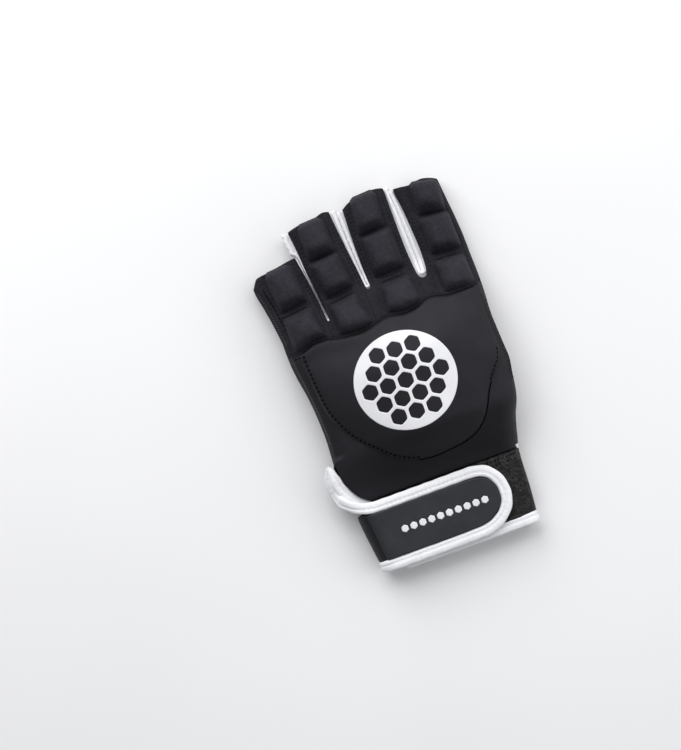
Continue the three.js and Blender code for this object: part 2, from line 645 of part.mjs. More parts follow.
function slitBinding() {
  const points = SLIT_TAPE.map(({ x, y }) => {
    const edge = lookUp(HAND, 'y', 'backLeft', y) + 1;
    return new THREE.Vector3(x, y, backTop(edge, y) - BACK_THICK + LOOP_THICK / 2 - SLIT_TAPE_DROP);
  });
  const looks = points.map(() => new THREE.Vector3(0, 0, 1));
  return tape(points, looks, SLIT_TAPE_WIDTH, TAPE.flatThick);
}

// Tape round the mouth of the cuff: over the back, round the right side and along the palm
function cuffBinding() {
  const { y, palmLeft, backLeft, right } = HAND[0];
  const middleY = y - TAPE.width / 2;
  const points = [];
  for (const x of CUFF_TAPE.over) {
    const { backLow } = handPoint(x, y, backLeft, right);
    points.push(new THREE.Vector3(x, middleY, Math.min(backLow + LOOP_THICK / 2, CUFF_TAPE.highest)));
  }
  points.push(new THREE.Vector3(right - CUFF_TAPE.sideIn, middleY, SEAM.rise + PALM_THICK + GAP / 2));
  for (const x of CUFF_TAPE.under) {
    const { palmLow } = handPoint(x, y, palmLeft, right);
    points.push(new THREE.Vector3(x, middleY, Math.max(palmLow + PALM_THICK / 2, TAPE.flatThick / 2)));
  }
  const looks = points.map((point, i) => heading(points, i).cross(new THREE.Vector3(0, 1, 0)));
  return tape(points, looks, TAPE.width, TAPE.flatThick);
}

// Thumb
function thumbSides(row, t) {
  const width = Math.hypot(row.x1 - row.x0, row.y1 - row.y0);
  return Math.min(t, 1 - t) * width;
}

const THUMB_BACK_Z = THUMB.padHeight + GAP + THUMB.backThick / 2;

// The thumb's back turns down from the edge of the hand and runs in under the palm
function thumbFold() {
  return THUMB_FOLD.levels.map(({ down, in: inward }) => THUMB_ACROSS.map((t) => {
    const y = lerp(THUMB_FOLD.from, THUMB_FOLD.to, t);
    const edge = lookUp(HAND, 'y', 'right', y);
    const top = underside(edge, y) + SEAM.rise + PALM_THICK - GAP;
    return new THREE.Vector3(edge - THUMB.backThick / 2 - inward, y, lerp(top, THUMB_BACK_Z, down));
  }));
}

function thumbBack() {
  const flat = THUMB_ROWS.map((row) => THUMB_ACROSS.map((t) => {
    const lift = THUMB.edgeRise * (1 - roll(thumbSides(row, t), 7));
    const z = THUMB_BACK_Z + Math.max(lift, row.rise);
    return new THREE.Vector3(lerp(row.x0, row.x1, t), lerp(row.y0, row.y1, t), z);
  }));
  const grid = [...thumbFold(), ...flat];
  return thickSheet(grid.map((line) => [...line].reverse()), THUMB.backThick);
}

function thumbPalm() {
  const rows = [...THUMB_ROWS].reverse();
  const middle = THUMB.padHeight + GAP + THUMB.backThick + THUMB.room;
  const seamed = THUMB_BACK_Z + THUMB.edgeRise + THUMB.backThick / 2 + GAP + 0.2;
  return sheet(THUMB_ACROSS.length, rows.length, (c, r) => {
    const row = rows[r];
    const t = 1 - THUMB_ACROSS[c];
    const x = lerp(row.x0, row.x1, t);
    const y = lerp(row.y0, row.y1, t);
    const closed = Math.max(1 - roll(thumbSides(row, t), 7), row.rise / THUMB.edgeRise);
    const low = Math.min(lerp(middle, seamed, closed), underside(x, y) - THUMB.palmThick - GAP);
    return { upper: new THREE.Vector3(x, y, low + THUMB.palmThick), lower: new THREE.Vector3(x, y, low) };
  });
}

function thumbPad({ x, y, width, length, turn }) {
  const angle = THREE.MathUtils.degToRad(turn);
  const geometry = block(width / 2, length / 2, THUMB.padHeight, (u, v, height) => {
    return new THREE.Vector3(
      x + u * Math.cos(angle) - v * Math.sin(angle),
      y + u * Math.sin(angle) + v * Math.cos(angle),
      THUMB.padHeight - height,
    );
  });
  const order = geometry.index.array;
  for (let i = 0; i < order.length; i += 3) {
    [order[i + 1], order[i + 2]] = [order[i + 2], order[i + 1]];
  }
  return geometry;
}

// Finishes
const FINISH = {
  knit: { color: 0x17171a, roughness: 0.8 },
  neoprene: { color: 0x1c1c20, roughness: 0.75 },
  suede: { color: 0x1a1a1c, roughness: 0.85 },
  loop: { color: 0x262624, roughness: 0.95 },
  label: { color: 0x3a3d41, roughness: 0.5 },
  tape: { color: 0xf0f0f4, roughness: 0.7 },
};

const glove = new THREE.Group();

function add(name, geometry, finish) {
  geometry.computeVertexNormals();
  const mesh = new THREE.Mesh(geometry, new THREE.MeshStandardMaterial({ ...FINISH[finish], metalness: 0 }));
  mesh.name = name;
  glove.add(mesh);
}

const [little, ring, middle, index] = FINGERS;
add('palm_panel', palmPanel(), 'suede');
add('finger_back', fingerBack(), 'knit');
add('hand_back', handBack(), 'neoprene');
add('cuff_loop_panel', cuffLoopPanel(), 'loop');
add('shield_cover', shieldCover(), 'neoprene');
for (const pad of PADS) add(pad.name, fingerPad(pad), 'knit');
add('gusset_little_ring', gusset(little, ring), 'tape');
add('gusset_ring_middle', gusset(ring, middle), 'tape');
add('gusset_middle_index', gusset(middle, index), 'tape');
add('wrist_strap', thickSheet(strapGrid(STRAP), STRAP_THICK), 'neoprene');
add('strap_label', thickSheet(
  strapGrid(STRAP.slice(LABEL_FROM)),
  LABEL_THICK,
  -(STRAP_THICK + LABEL_THICK) / 2 - GAP,
), 'label');
add('strap_binding', strapBinding(), 'tape');
add('slit_binding', slitBinding(), 'tape');
add('cuff_binding', cuffBinding(), 'tape');
add('thumb_back', thumbBack(), 'neoprene');
add('thumb_palm', thumbPalm(), 'suede');
for (const pad of THUMB_PADS) add(pad.name, thumbPad(pad), 'knit');

glove.position.set(-CENTRE.x, -CENTRE.y, 0);

export default glove;
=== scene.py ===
# Field hockey glove, half-finger, for the left hand: the finish of every piece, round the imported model.
# Tables and lengths are millimetres from a datum on the back of the hand, with +Y to the fingertips and +X to
# the thumb side. place() turns them into metres in the shared frame.

import math

import bpy
import numpy as np
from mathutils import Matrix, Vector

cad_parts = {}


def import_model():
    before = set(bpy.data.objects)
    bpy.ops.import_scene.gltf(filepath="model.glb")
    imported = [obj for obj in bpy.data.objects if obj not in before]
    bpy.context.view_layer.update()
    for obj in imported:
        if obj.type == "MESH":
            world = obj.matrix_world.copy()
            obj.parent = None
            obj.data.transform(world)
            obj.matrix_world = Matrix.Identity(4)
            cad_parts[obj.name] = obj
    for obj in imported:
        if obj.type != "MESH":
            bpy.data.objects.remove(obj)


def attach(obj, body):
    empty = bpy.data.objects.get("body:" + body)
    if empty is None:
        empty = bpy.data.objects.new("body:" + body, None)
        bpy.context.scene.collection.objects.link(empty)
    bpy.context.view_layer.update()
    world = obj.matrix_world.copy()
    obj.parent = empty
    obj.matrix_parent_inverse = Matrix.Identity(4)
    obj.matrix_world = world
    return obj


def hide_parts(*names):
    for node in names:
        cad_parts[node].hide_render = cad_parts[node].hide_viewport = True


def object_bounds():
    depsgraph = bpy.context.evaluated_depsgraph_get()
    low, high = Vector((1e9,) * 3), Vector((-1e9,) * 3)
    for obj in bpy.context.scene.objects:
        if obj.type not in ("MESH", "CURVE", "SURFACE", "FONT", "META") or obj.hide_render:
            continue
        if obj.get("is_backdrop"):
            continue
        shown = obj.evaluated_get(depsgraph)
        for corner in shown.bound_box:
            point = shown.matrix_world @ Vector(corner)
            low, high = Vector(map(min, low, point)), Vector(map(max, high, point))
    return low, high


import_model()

cad_low, cad_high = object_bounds()

# Driving sizes
MM = 0.001
CENTRE_X = -13.8
CENTRE_Y = 6.8
GAP = 0.3
PALM_THICK = 1.4
BACK_THICK = 2.6
KNIT_THICK = 2.0
LOOP_THICK = 2.0
GUSSET_THICK = 0.9
STRAP_THICK = 2.4
LABEL_THICK = 0.8
SEAM_RISE = 5
BACK_ROLL = 9
PALM_ROLL = 7
WEB_DROP = 2.0
WEB_CURL = 1.0
WEB_ROLL = 3
WEB_RUN = 9
CUFF_TOP = -48.8
CUFF_MOUTH = -83.7
PAD_RISE = 8.9
# Stands for the distance to a seam or a gap that a place doesn't have
FAR = 99


def table(columns, rows):
    """A table's columns by name."""
    return {name: np.array([row[i] for row in rows], float) for i, name in enumerate(columns.split())}


# Sections of the hand from the wrist up: left edges of the palm and of the back, right edge, and how far the
# palm stops short of it where the thumb leaves
HAND = table("y palm_left back_left right inset", [
    (CUFF_MOUTH, -44.0, -46.0, 28.7, 0),
    (-70.0, -44.0, -46.0, 29.9, 0),
    (-54.6, -44.0, -46.6, 30.6, 0),
    (-52.4, -56.5, -47.6, 30.8, 0),
    (-48.8, -59.8, -49.8, 31.1, 0),
    (-44.0, -62.4, -55.4, 32.4, 3),
    (-38.0, -64.0, -58.4, 33.7, 7),
    (-31.0, -64.2, -60.2, 35.5, 7),
    (-25.0, -61.6, -60.9, 37.9, 7),
    (-20.0, -61.3, -61.3, 39.3, 7),
    (-10.0, -60.8, -60.8, 40.9, 7),
    (-2.0, -61.0, -61.0, 42.0, 7),
    (5.0, -61.4, -61.4, 41.6, 2),
    (14.0, -62.3, -62.3, 41.1, 0),
    (25.0, -63.6, -63.6, 40.7, 0),
    (34.0, -64.5, -64.5, 41.1, 0),
    (50.0, -65.8, -65.8, 42.1, 0),
])

# Height of the empty space inside
ROOM = table("y room", [(-90, 10.4), (-48, 10.4), (-15, 9.8), (22, 9.8), (50, 9.4), (65, 9.0), (104, 8.4)])

# Side edges of each finger, from its root to its tip
EDGES = [
    table("y left right", [
        (40, -64.7, -39.4), (46, -65.3, -39.7), (54, -66.3, -40.4), (64, -67.9, -41.55), (75, -69.8, -43.2),
        (84, -69.2, -44.8),
    ]),
    table("y left right", [
        (46, -38.0, -14.6), (55, -39.0, -15.2), (65, -40.0, -16.0), (75, -41.0, -17.3), (85, -41.7, -18.4),
        (99, -43.2, -19.8),
    ]),
    table("y left right", [
        (51, -11.6, 14.0), (55, -11.8, 12.2), (60, -12.2, 11.8), (70, -12.6, 11.2), (85, -12.5, 11.0),
        (102, -12.0, 10.9),
    ]),
    table("y left right", [
        (50, 16.9, 42.1), (57, 18.6, 42.1), (65, 19.0, 42.0), (77, 18.4, 41.2), (87, 17.7, 40.2),
        (98, 16.3, 39.2),
    ]),
]

# Where each finger starts and ends, from its left edge to its right edge
ENDS = [
    table("across base tip", [
        (0, 44, 75.6), (0.12, 44.4, 80.2), (0.36, 45, 81), (0.64, 45.6, 82.2), (0.88, 46, 83.2),
        (1, 46, 83.5),
    ]),
    table("across base tip", [
        (0, 46, 97.3), (0.12, 46.8, 98.1), (0.36, 49.5, 99), (0.64, 52.5, 99.4), (0.88, 54.8, 100.8),
        (1, 55, 100.3),
    ]),
    table("across base tip", [
        (0, 55, 98.8), (0.12, 54.8, 100.5), (0.36, 53.5, 102.4), (0.64, 52.2, 103.4), (0.88, 51.2, 102.9),
        (1, 51, 102.2),
    ]),
    table("across base tip", [
        (0, 51, 99.8), (0.12, 51, 99.5), (0.36, 50.8, 98.9), (0.64, 50.5, 99.9), (0.88, 50.2, 98.7),
        (1, 50, 97.4),
    ]),
]
# How deep the round crotch of each finger gap is
CROTCH_ROUND = [0.85, 1.7, 2.7]

# The scalloped seam under the last row of pads
KNUCKLES = table("x y", [
    (-65, 35.5), (-58, 36), (-50, 38.5), (-44, 38.5), (-37, 36.8), (-25, 35.8), (-15, 38), (-10, 39),
    (0, 37.5), (5, 38), (14, 41), (25, 38.8), (35, 38.5), (43, 40.2),
])

# Foam pads on the finger backs: left, right, lower and upper edge, how long the slope to the next pad is, how
# much wider the pad gets on each side at its lower edge, and where it is highest, from -1 at the lower edge
# to 1 at the upper one. Only the pads of the last row get wider; their lower edge follows the knuckle seam.
PADS = {
    "pad_little_1": (-62.2, -46.2, 59.1, 82.0, 5.0, 0.0, 0.1),
    "pad_little_2": (-61.2, -43.6, 40.0, 56.6, 3.6, 1.0, 0.4),
    "pad_ring_1": (-38.6, -23.2, 79.0, 99.6, 5.4, 0.0, -0.35),
    "pad_ring_2": (-37.4, -21.2, 58.3, 78.8, 4.2, 0.0, 0.2),
    "pad_ring_3": (-36.0, -19.2, 38.2, 55.2, 3.6, 1.6, 0.45),
    "pad_middle_1": (-8.8, 6.4, 82.6, 103.5, 5.0, 0.0, -0.45),
    "pad_middle_2": (-9.0, 8.2, 59.5, 82.4, 4.4, 0.0, 0.0),
    "pad_middle_3": (-8.2, 9.2, 39.8, 55.8, 3.6, 1.4, 0.35),
    "pad_index_1": (23.5, 39.3, 80.9, 99.3, 5.4, 0.0, 0.0),
    "pad_index_2": (22.8, 39.6, 59.8, 80.7, 4.4, 0.0, 0.0),
    "pad_index_3": (22.2, 39.4, 40.6, 57.0, 3.4, 0.4, 0.5),
}
# How far the pads of each finger, and some by themselves, lean sideways, and how their lower and upper edges
# rise to the right
PAD_SLANT = {
    "pad_little": (-0.11, 0.14, 0.1), "pad_ring": (-0.12, 0.17, 0.12), "pad_middle": (0.0, 0.07, 0.05),
    "pad_index": (-0.02, -0.05, -0.04), "pad_ring_1": (-0.03, 0.09, 0.06), "pad_middle_1": (0.08, 0.09, 0.06),
    "pad_index_1": (0.06, -0.09, -0.17),
}
# How long the slope is in the last row, and how sharp the crest above it is, there and in the other rows
LAST_SLOPE = 1.15
PAD_SLOPE = 1.04
LAST_CREST = 3.6
PAD_CREST = 6

# Outline of the shield cover from the knuckle seam down its left side, round the wrist end and up its right
# side
SHIELD_OUTLINE = [
    (-59.3, 34.6), (-59.0, 25), (-58.3, 15), (-57.4, 7), (-56.2, 0.5), (-53.4, -6), (-50, -11.5),
    (-46.8, -16), (-43, -20), (-38, -25), (-33, -29.6), (-28, -33), (-23, -35.4), (-17, -36.9),
    (-10.5, -37.4), (-5, -37), (0, -36.5), (5, -35.9), (10, -34.4), (14.2, -32.2), (18, -28.9),
    (21.2, -24.6), (23.9, -19.8), (26.2, -15), (29, -10.8), (32.2, -7), (35.6, -3.4), (38, 0.4),
    (38.8, 5), (38.7, 12), (38.5, 20), (38.4, 28), (38.6, 37.8),
]
SHIELD_MIDDLE = (-10.5, 4)
SHIELD_EDGE = 0.8
SHIELD_RISE = 4.9
SEAM_RIDGE = 1.0

# Strap from the palm side round the little-finger edge and over the back: its middle surface at its lower
# edge and at its upper edge
STRAP_Z = 15.8
STRAP = table("x0 y0 x1 y1 z", [
    (-44.4, -80.2, -44.4, -55.2, 1.25),
    (-50.5, -80.2, -52.0, -55.2, 1.25),
    (-54.6, -80.2, -57.2, -55.4, 2.9),
    (-56.2, -80.2, -59.1, -55.6, 6.8),
    (-55.4, -80.2, -58.2, -55.6, 11.5),
    (-52.0, -80.2, -54.5, -55.6, 14.8),
    (-47.0, -80.2, -49.0, -55.6, STRAP_Z),
    (-30.0, -80.2, -30.0, -55.6, STRAP_Z),
    (-12.0, -80.2, -12.0, -55.6, STRAP_Z),
    (0.0, -79.7, 0.0, -55.8, STRAP_Z),
    (5.0, -78.2, 5.0, -56.3, STRAP_Z),
    (9.0, -75.6, 9.0, -57.5, STRAP_Z),
    (12.0, -72.2, 12.0, -60.4, STRAP_Z),
    (13.4, -68.6, 13.4, -64.0, STRAP_Z),
])
# The section at which the label starts
LABEL_FROM = 5

# Centre line of the strap's tape, with the way that its face looks. On the strap's top it lies flat.
TAPE_Z = 16.3
TOP_TAPE = [
    (-46.5, -83.5), (-25, -83.5), (-5, -83.3), (2.5, -82.8), (7.8, -81.0), (12.2, -78.0), (15.4, -74.0),
    (16.8, -69.5), (16.9, -65.2), (16.1, -61.2), (13.7, -57.0), (10.2, -53.9), (4.8, -52.4), (-2, -52.2),
    (-24, -52.3), (-46, -52.3),
]
STRAP_TAPE = table("x y z fx fy fz", [
    (-44.6, -83.5, 1.7, 0, 0, -1),
    (-50.4, -83.5, 1.7, -0.1, 0, -1),
    (-54.3, -83.5, 3.3, -0.8, 0, -0.7),
    (-56.1, -83.5, 7.2, -1, 0, 0),
    (-55.2, -83.5, 12.0, -0.9, 0, 0.5),
    (-52.0, -83.5, 15.3, -0.5, 0, 0.9),
    *[(x, y, TAPE_Z, 0, 0, 1) for x, y in TOP_TAPE],
    (-52, -51.8, 16.6, -0.1, 0.1, 1),
    (-57, -50.3, 15.9, -0.35, 0.1, 0.9),
    (-61, -47.9, 15.4, -0.6, 0, 0.8),
    (-64.8, -44.4, 13.9, -0.7, 0, 0.7),
    (-66.5, -39.6, 10.6, -0.8, 0, 0.6),
    (-67.2, -34.2, 10.0, -0.7, 0.1, 0.7),
    (-66.3, -29.2, 10.3, -0.5, 0.2, 0.8),
    (-64.9, -24.4, 10.9, -0.4, 0.3, 0.9),
])

# Centre line of the slit's tape
SLIT_TAPE = table("x y", [
    (-64.3, -24.9), (-64.2, -31.0), (-62.9, -37.4), (-59.9, -43.3), (-55.4, -48.4), (-51.4, -51.6),
    (-49.4, -56.0), (-48.8, -64.0), (-48.7, -82.6),
])
SLIT_TAPE_DROP = 1.5
SLIT_TOP_DROP = 1.5

# Thumb: lower left and upper right end of each section, from the fold at the right edge to the tip, and its
# least rise
THUMB_ROWS = table("x0 y0 x1 y1 rise", [
    (24.6, -30.6, 35.0, 5.4, 0),
    (15.4, -23.0, 27.8, 13.2, 0),
    (5.4, -13.4, 20.6, 20.8, 0),
    (-3.4, -2.8, 14.4, 27.4, 0),
    (-10.2, 8.2, 7.6, 33.4, 0),
    (-14.2, 19.6, 0.2, 36.2, 0.2),
    (-13.6, 27.2, -6.2, 34.6, 0.8),
])
# Rows of the fold from the right edge down to the thumb: share of the way down, and how far inward
THUMB_FOLD = table("down inward", [(0, 0), (0.5, -0.5), (0.88, 1.4)])
# Pads on the thumb's back: x and y of the middle, width and length
THUMB_PADS = {"thumb_pad_1": (-0.6, 20.2, 21, 17), "thumb_pad_2": (13.6, 0.6, 25, 20)}
THUMB_TURN = math.radians(40)
THUMB_PAD_HEIGHT = 3.8
THUMB_BACK_THICK = 1.8
THUMB_PALM_THICK = 1.3
THUMB_ROOM = 5.9
THUMB_EDGE_RISE = 0.8


# Small arithmetic
def lerp(a, b, t):
    return a + (b - a) * t


def ramp(value, low, high):
    t = np.clip((value - low) / (high - low), 0, 1)
    return t * t * (3 - 2 * t)


def roll(distance, radius):
    return np.sqrt(1 - (1 - np.clip(distance / radius, 0, 1)) ** 2)


def unit(vectors):
    return vectors / np.maximum(np.linalg.norm(vectors, axis=-1, keepdims=True), 1e-12)


def rows_of(columns):
    """A table's rows as one array."""
    return np.stack(list(columns.values()), 1)


def line_through(xs, ys):
    """A smooth line through points that keeps to their range: a monotone cubic."""
    xs = np.asarray(xs, float)
    ys = np.asarray(ys, float)
    h = np.diff(xs)
    slope = np.diff(ys) / h
    m = np.zeros(len(xs))
    before, after = slope[:-1], slope[1:]
    same = before * after > 0
    w1 = 2 * h[1:] + h[:-1]
    w2 = h[1:] + 2 * h[:-1]
    safe = np.where(same, before, 1), np.where(same, after, 1)
    m[1:-1] = np.where(same, (w1 + w2) / (w1 / safe[0] + w2 / safe[1]), 0)
    m[0], m[-1] = slope[0], slope[-1]

    def at(x):
        x = np.clip(np.asarray(x, float), xs[0], xs[-1])
        i = np.clip(np.searchsorted(xs, x) - 1, 0, len(xs) - 2)
        t = (x - xs[i]) / h[i]
        rise = (2 * t ** 3 - 3 * t ** 2 + 1) * ys[i] + (3 * t ** 2 - 2 * t ** 3) * ys[i + 1]
        return rise + h[i] * ((t ** 3 - 2 * t ** 2 + t) * m[i] + (t ** 3 - t ** 2) * m[i + 1])

    return at


def spline(points, per_span):
    """Points on a Catmull-Rom curve through the given ones."""
    points = np.asarray(points, float)
    around = np.vstack([2 * points[0] - points[1], points, 2 * points[-1] - points[-2]])
    t = np.linspace(0, 1, per_span, endpoint=False)[:, None]
    spans = []
    for i in range(1, len(around) - 2):
        p0, p1, p2, p3 = around[i - 1:i + 3]
        a = 2 * p1 + (p2 - p0) * t
        b = (2 * p0 - 5 * p1 + 4 * p2 - p3) * t ** 2
        c = (3 * p1 - p0 - 3 * p2 + p3) * t ** 3
        spans.append((a + b + c) / 2)
    return np.vstack([*spans, points[-1:]])


def lengths_along(line):
    """How far along a line each of its points is."""
    return np.concatenate([[0], np.cumsum(np.linalg.norm(np.diff(line, axis=0), axis=1))])


def spaced(points, step):
    """The same line with points at even distances of about step."""
    length = lengths_along(points[:, :3])
    count = max(int(round(length[-1] / step)), 2)
    at = np.linspace(0, length[-1], count + 1)
    return np.stack([np.interp(at, length, points[:, k]) for k in range(points.shape[1])], 1)


class Waves:
    """A gentle uneven surface: a sum of sines with fixed draws."""

    def __init__(self, seed, longest):
        count = 7
        draw = np.random.default_rng(seed)
        size = longest / draw.uniform(1, 3.2, count)
        angle = draw.uniform(0, math.tau, count)
        self.kx = math.tau / size * np.cos(angle)
        self.ky = math.tau / size * np.sin(angle)
        self.phase = draw.uniform(0, math.tau, count)
        self.weight = size / size.sum()

    def __call__(self, x, y):
        x = np.asarray(x, float)[..., None]
        y = np.asarray(y, float)[..., None]
        return (self.weight * np.sin(x * self.kx + y * self.ky + self.phase)).sum(-1)


# Surfaces of the glove
palm_left = line_through(HAND["y"], HAND["palm_left"])
back_left = line_through(HAND["y"], HAND["back_left"])
right_edge = line_through(HAND["y"], HAND["right"])
palm_inset = line_through(HAND["y"], HAND["inset"])
room_at = line_through(ROOM["y"], ROOM["room"])
knuckle_y = line_through(KNUCKLES["x"], KNUCKLES["y"])
FINGER_LEFT = [line_through(e["y"], e["left"]) for e in EDGES]
FINGER_RIGHT = [line_through(e["y"], e["right"]) for e in EDGES]


def underside(x, y):
    """How far the palm is lifted off the table."""
    along = ramp(y, -50, -20) * (1 - ramp(y, 22, 62))
    return along * lerp(4, 13.6, ramp(x, -64, -4))


def levels(x, y, palm_side, back_side, web, web_from):
    """Lower surfaces of the palm and the back. The distances are to the side seams and the finger gap."""
    near_web = ramp(web_from, 0, WEB_RUN) * (1 - roll(web, WEB_ROLL))
    palm = underside(x, y) + SEAM_RISE * (1 - roll(palm_side, PALM_ROLL)) + WEB_CURL * near_web
    crowned = ramp(y, -50, -20) * (1 - ramp(y, 40, 60))
    crown = np.maximum(2 * crowned * (1 - ((x - CENTRE_X) / 54) ** 2), 0)
    floor = underside(x, y) + PALM_THICK + GAP
    full = floor + room_at(y) + crown - WEB_DROP * near_web
    return palm, lerp(floor + SEAM_RISE, full, roll(back_side, BACK_ROLL))


def hand_levels(x, y, left, right):
    palm_seam = ramp(y, -54.4, -49)
    back_seam = ramp(y, -33, -21)
    palm_side = np.minimum(right - x, lerp(FAR, x - left, palm_seam))
    back_side = np.minimum(right - x, lerp(FAR, x - left, back_seam))
    return levels(x, y, palm_side, back_side, FAR, 0)


def hand_low(x, y):
    """Lower surface of the back, on the hand alone."""
    return hand_levels(x, y, back_left(y), right_edge(y))[1]


def finger_levels(f, x, y, web_from):
    from_left = x - FINGER_LEFT[f](y)
    from_right = FINGER_RIGHT[f](y) - x
    far = np.full_like(np.asarray(x, float), FAR)
    seam = np.minimum(from_left if f == 0 else far, from_right if f == 3 else far)
    web = np.minimum(far if f == 0 else from_left, far if f == 3 else from_right)
    return levels(x, y, seam, seam, web, web_from)


def finger_base(f, across):
    """Where a finger starts: a little up from the crotch at the edges that have a gap."""
    base = ENDS[f]["base"].copy()
    if f > 0:
        base[0] += CROTCH_ROUND[f - 1]
        base[1] += CROTCH_ROUND[f - 1] / 2
    if f < 3:
        base[-1] += CROTCH_ROUND[f]
        base[-2] += CROTCH_ROUND[f] / 2
    return line_through(ENDS[f]["across"], base)(across)


def finger_tip(f, across):
    return line_through(ENDS[f]["across"], ENDS[f]["tip"])(across)


def back_low(x, y):
    """Lower surface of the back, anywhere on the hand or a finger."""
    x, y = np.broadcast_arrays(np.asarray(x, float), np.asarray(y, float))
    low = hand_low(x, y)
    for f in range(4):
        left, right = FINGER_LEFT[f](y), FINGER_RIGHT[f](y)
        across = np.clip((x - left) / (right - left), 0, 1)
        up = y - finger_base(f, across)
        here = (up > 0) & (x > left - 0.6) & (x < right + 0.6)
        low = np.where(here, finger_levels(f, np.clip(x, left, right), y, up)[1], low)
    return low


# How far in from its left and from its right edge each finger is stitched, and the pitch of those stitches
LEFT_FLANGE = [4.2, 1.8, 1.8, 1.8]
RIGHT_FLANGE = 1.8
FLANGE_PITCH = 2.2

# Folds of the knit below the finger gaps: x where y is FOLD_FROM, lean, depth and width
KNIT_FOLDS = [
    (-40.6, -0.05, 0.9, 1.0), (-37.4, 0.04, 0.8, 0.9), (-16.6, -0.04, 1.2, 1.1), (-13.2, 0.0, 1.0, 0.9),
    (-10.3, 0.05, 1.1, 1.0), (12.4, -0.03, 0.9, 1.1), (16.0, 0.02, 1.1, 1.3), (19.6, 0.05, 0.9, 1.0),
]
FOLD_FROM = 45
# Width and depth of the dip at the knuckle seam
KNUCKLE_DIP = (1.4, 0.7)

# Padded ridges between two pads: left end, right end, place along the finger, tilt and width
CHANNELS = [
    (-62, -46.5, 57.8, 0.1, 0.6), (-36.0, -21.0, 56.6, 0.12, 0.9), (-8.0, 7.4, 57.6, 0.04, 1.1),
    (23.6, 39.2, 58.4, -0.03, 0.7),
]
CHANNEL_RISE = 1.3
# Width and depth of the dip at the lower edge of the pads above the last row
PAD_FOOT_DIP = (1.3, 0.9)

soft_waves = Waves(11, 46)
small_waves = Waves(12, 13)


def seam_dip(distance, width, depth):
    return -depth * np.exp(-(distance / width) ** 2)


def within(distance, half):
    """About 1 up to half and about 0 past it, with a soft step."""
    return np.exp(-(distance / half) ** 8)


def pad_slant(name):
    return PAD_SLANT.get(name, PAD_SLANT[name[:-2]])


def knit_detail(x, y):
    """Folds of the knit below the finger gaps and between the rows of pads."""
    rise = 0.12 * small_waves(x, y)
    fade = 1 - ramp(y, 44, 58)
    for fold, lean, depth, width in KNIT_FOLDS:
        centre = fold + lean * (y - FOLD_FROM)
        rise = rise + seam_dip(x - centre, width, depth) * fade
    rise = rise + seam_dip(y - knuckle_y(x), *KNUCKLE_DIP)
    for f in range(4):
        for line, inward in ((FINGER_LEFT[f], LEFT_FLANGE[f]), (FINGER_RIGHT[f], -RIGHT_FLANGE)):
            off = np.abs(x - line(y) - inward)
            gather = np.cos(math.tau * (y + 0.3 * f) / FLANGE_PITCH) * 0.16 - 0.22
            rise = rise + gather * np.exp(-(off / 0.9) ** 2) * ramp(y, 44, 50)
    for left, right, ridge_y, tilt, width in CHANNELS:
        middle, half = (left + right) / 2, (right - left) / 2
        ridge = np.exp(-((y - ridge_y - tilt * (x - middle)) / width) ** 2)
        rise = rise + CHANNEL_RISE * ridge * within(x - middle, half)
    for name, (left, right, low, _, _, flare, _) in PADS.items():
        if not flare:
            middle, half = (left + right) / 2, (right - left) / 2
            foot = low + pad_slant(name)[1] * (x - middle)
            rise = rise + seam_dip(y - foot, *PAD_FOOT_DIP) * within(x - middle, half)
    return rise


def back_detail(x, y):
    """Slight unevenness of the neoprene, and the seams that it is sewn down at."""
    rise = 0.35 * soft_waves(x, y) + 0.06 * small_waves(x, y)
    below = knuckle_y(x) - y
    rise = rise + 0.2 * np.exp(-((below - 3.6) / 2.2) ** 2) + seam_dip(below, *KNUCKLE_DIP)
    return rise + seam_dip(y - CUFF_TOP, 1.4, 0.5)


def back_top(x, y):
    """Upper surface of the back with its folds."""
    knit, neoprene = KNIT_THICK + knit_detail(x, y), BACK_THICK + back_detail(x, y)
    return back_low(x, y) + np.where(y > knuckle_y(x), knit, neoprene)


# Meshes
def place(points):
    return (np.asarray(points, float) - np.array([CENTRE_X, CENTRE_Y, 0.0])) * MM


def volume(points, faces):
    total = 0.0
    for face in faces:
        a = points[face[:, 0]]
        for k in range(1, face.shape[1] - 1):
            total += float((a * np.cross(points[face[:, k]], points[face[:, k + 1]])).sum())
    return total


def body(name, points, faces, kinds=None):
    """A mesh object from points and groups of faces, in millimetres. kinds gives each group's material."""
    faces = [np.asarray(group, int) for group in faces if len(group)]
    points = np.asarray(points, float)
    used = np.unique(np.concatenate([group.ravel() for group in faces]))
    renumber = np.full(len(points), -1)
    renumber[used] = np.arange(len(used))
    points = points[used]
    faces = [renumber[group] for group in faces]
    if volume(points, faces) < 0:
        faces = [group[:, ::-1] for group in faces]
    mesh = bpy.data.meshes.new(name + "_cloth")
    mesh.from_pydata(place(points).tolist(), [], [face for group in faces for face in group.tolist()])
    kinds = kinds or [0] * len(faces)
    mesh.polygons.foreach_set("material_index", np.repeat(kinds, [len(group) for group in faces]))
    mesh.polygons.foreach_set("use_smooth", np.ones(len(mesh.polygons), bool))
    mesh.update()
    made = bpy.data.objects.new(name + "_cloth", mesh)
    bpy.context.scene.collection.objects.link(made)
    return made


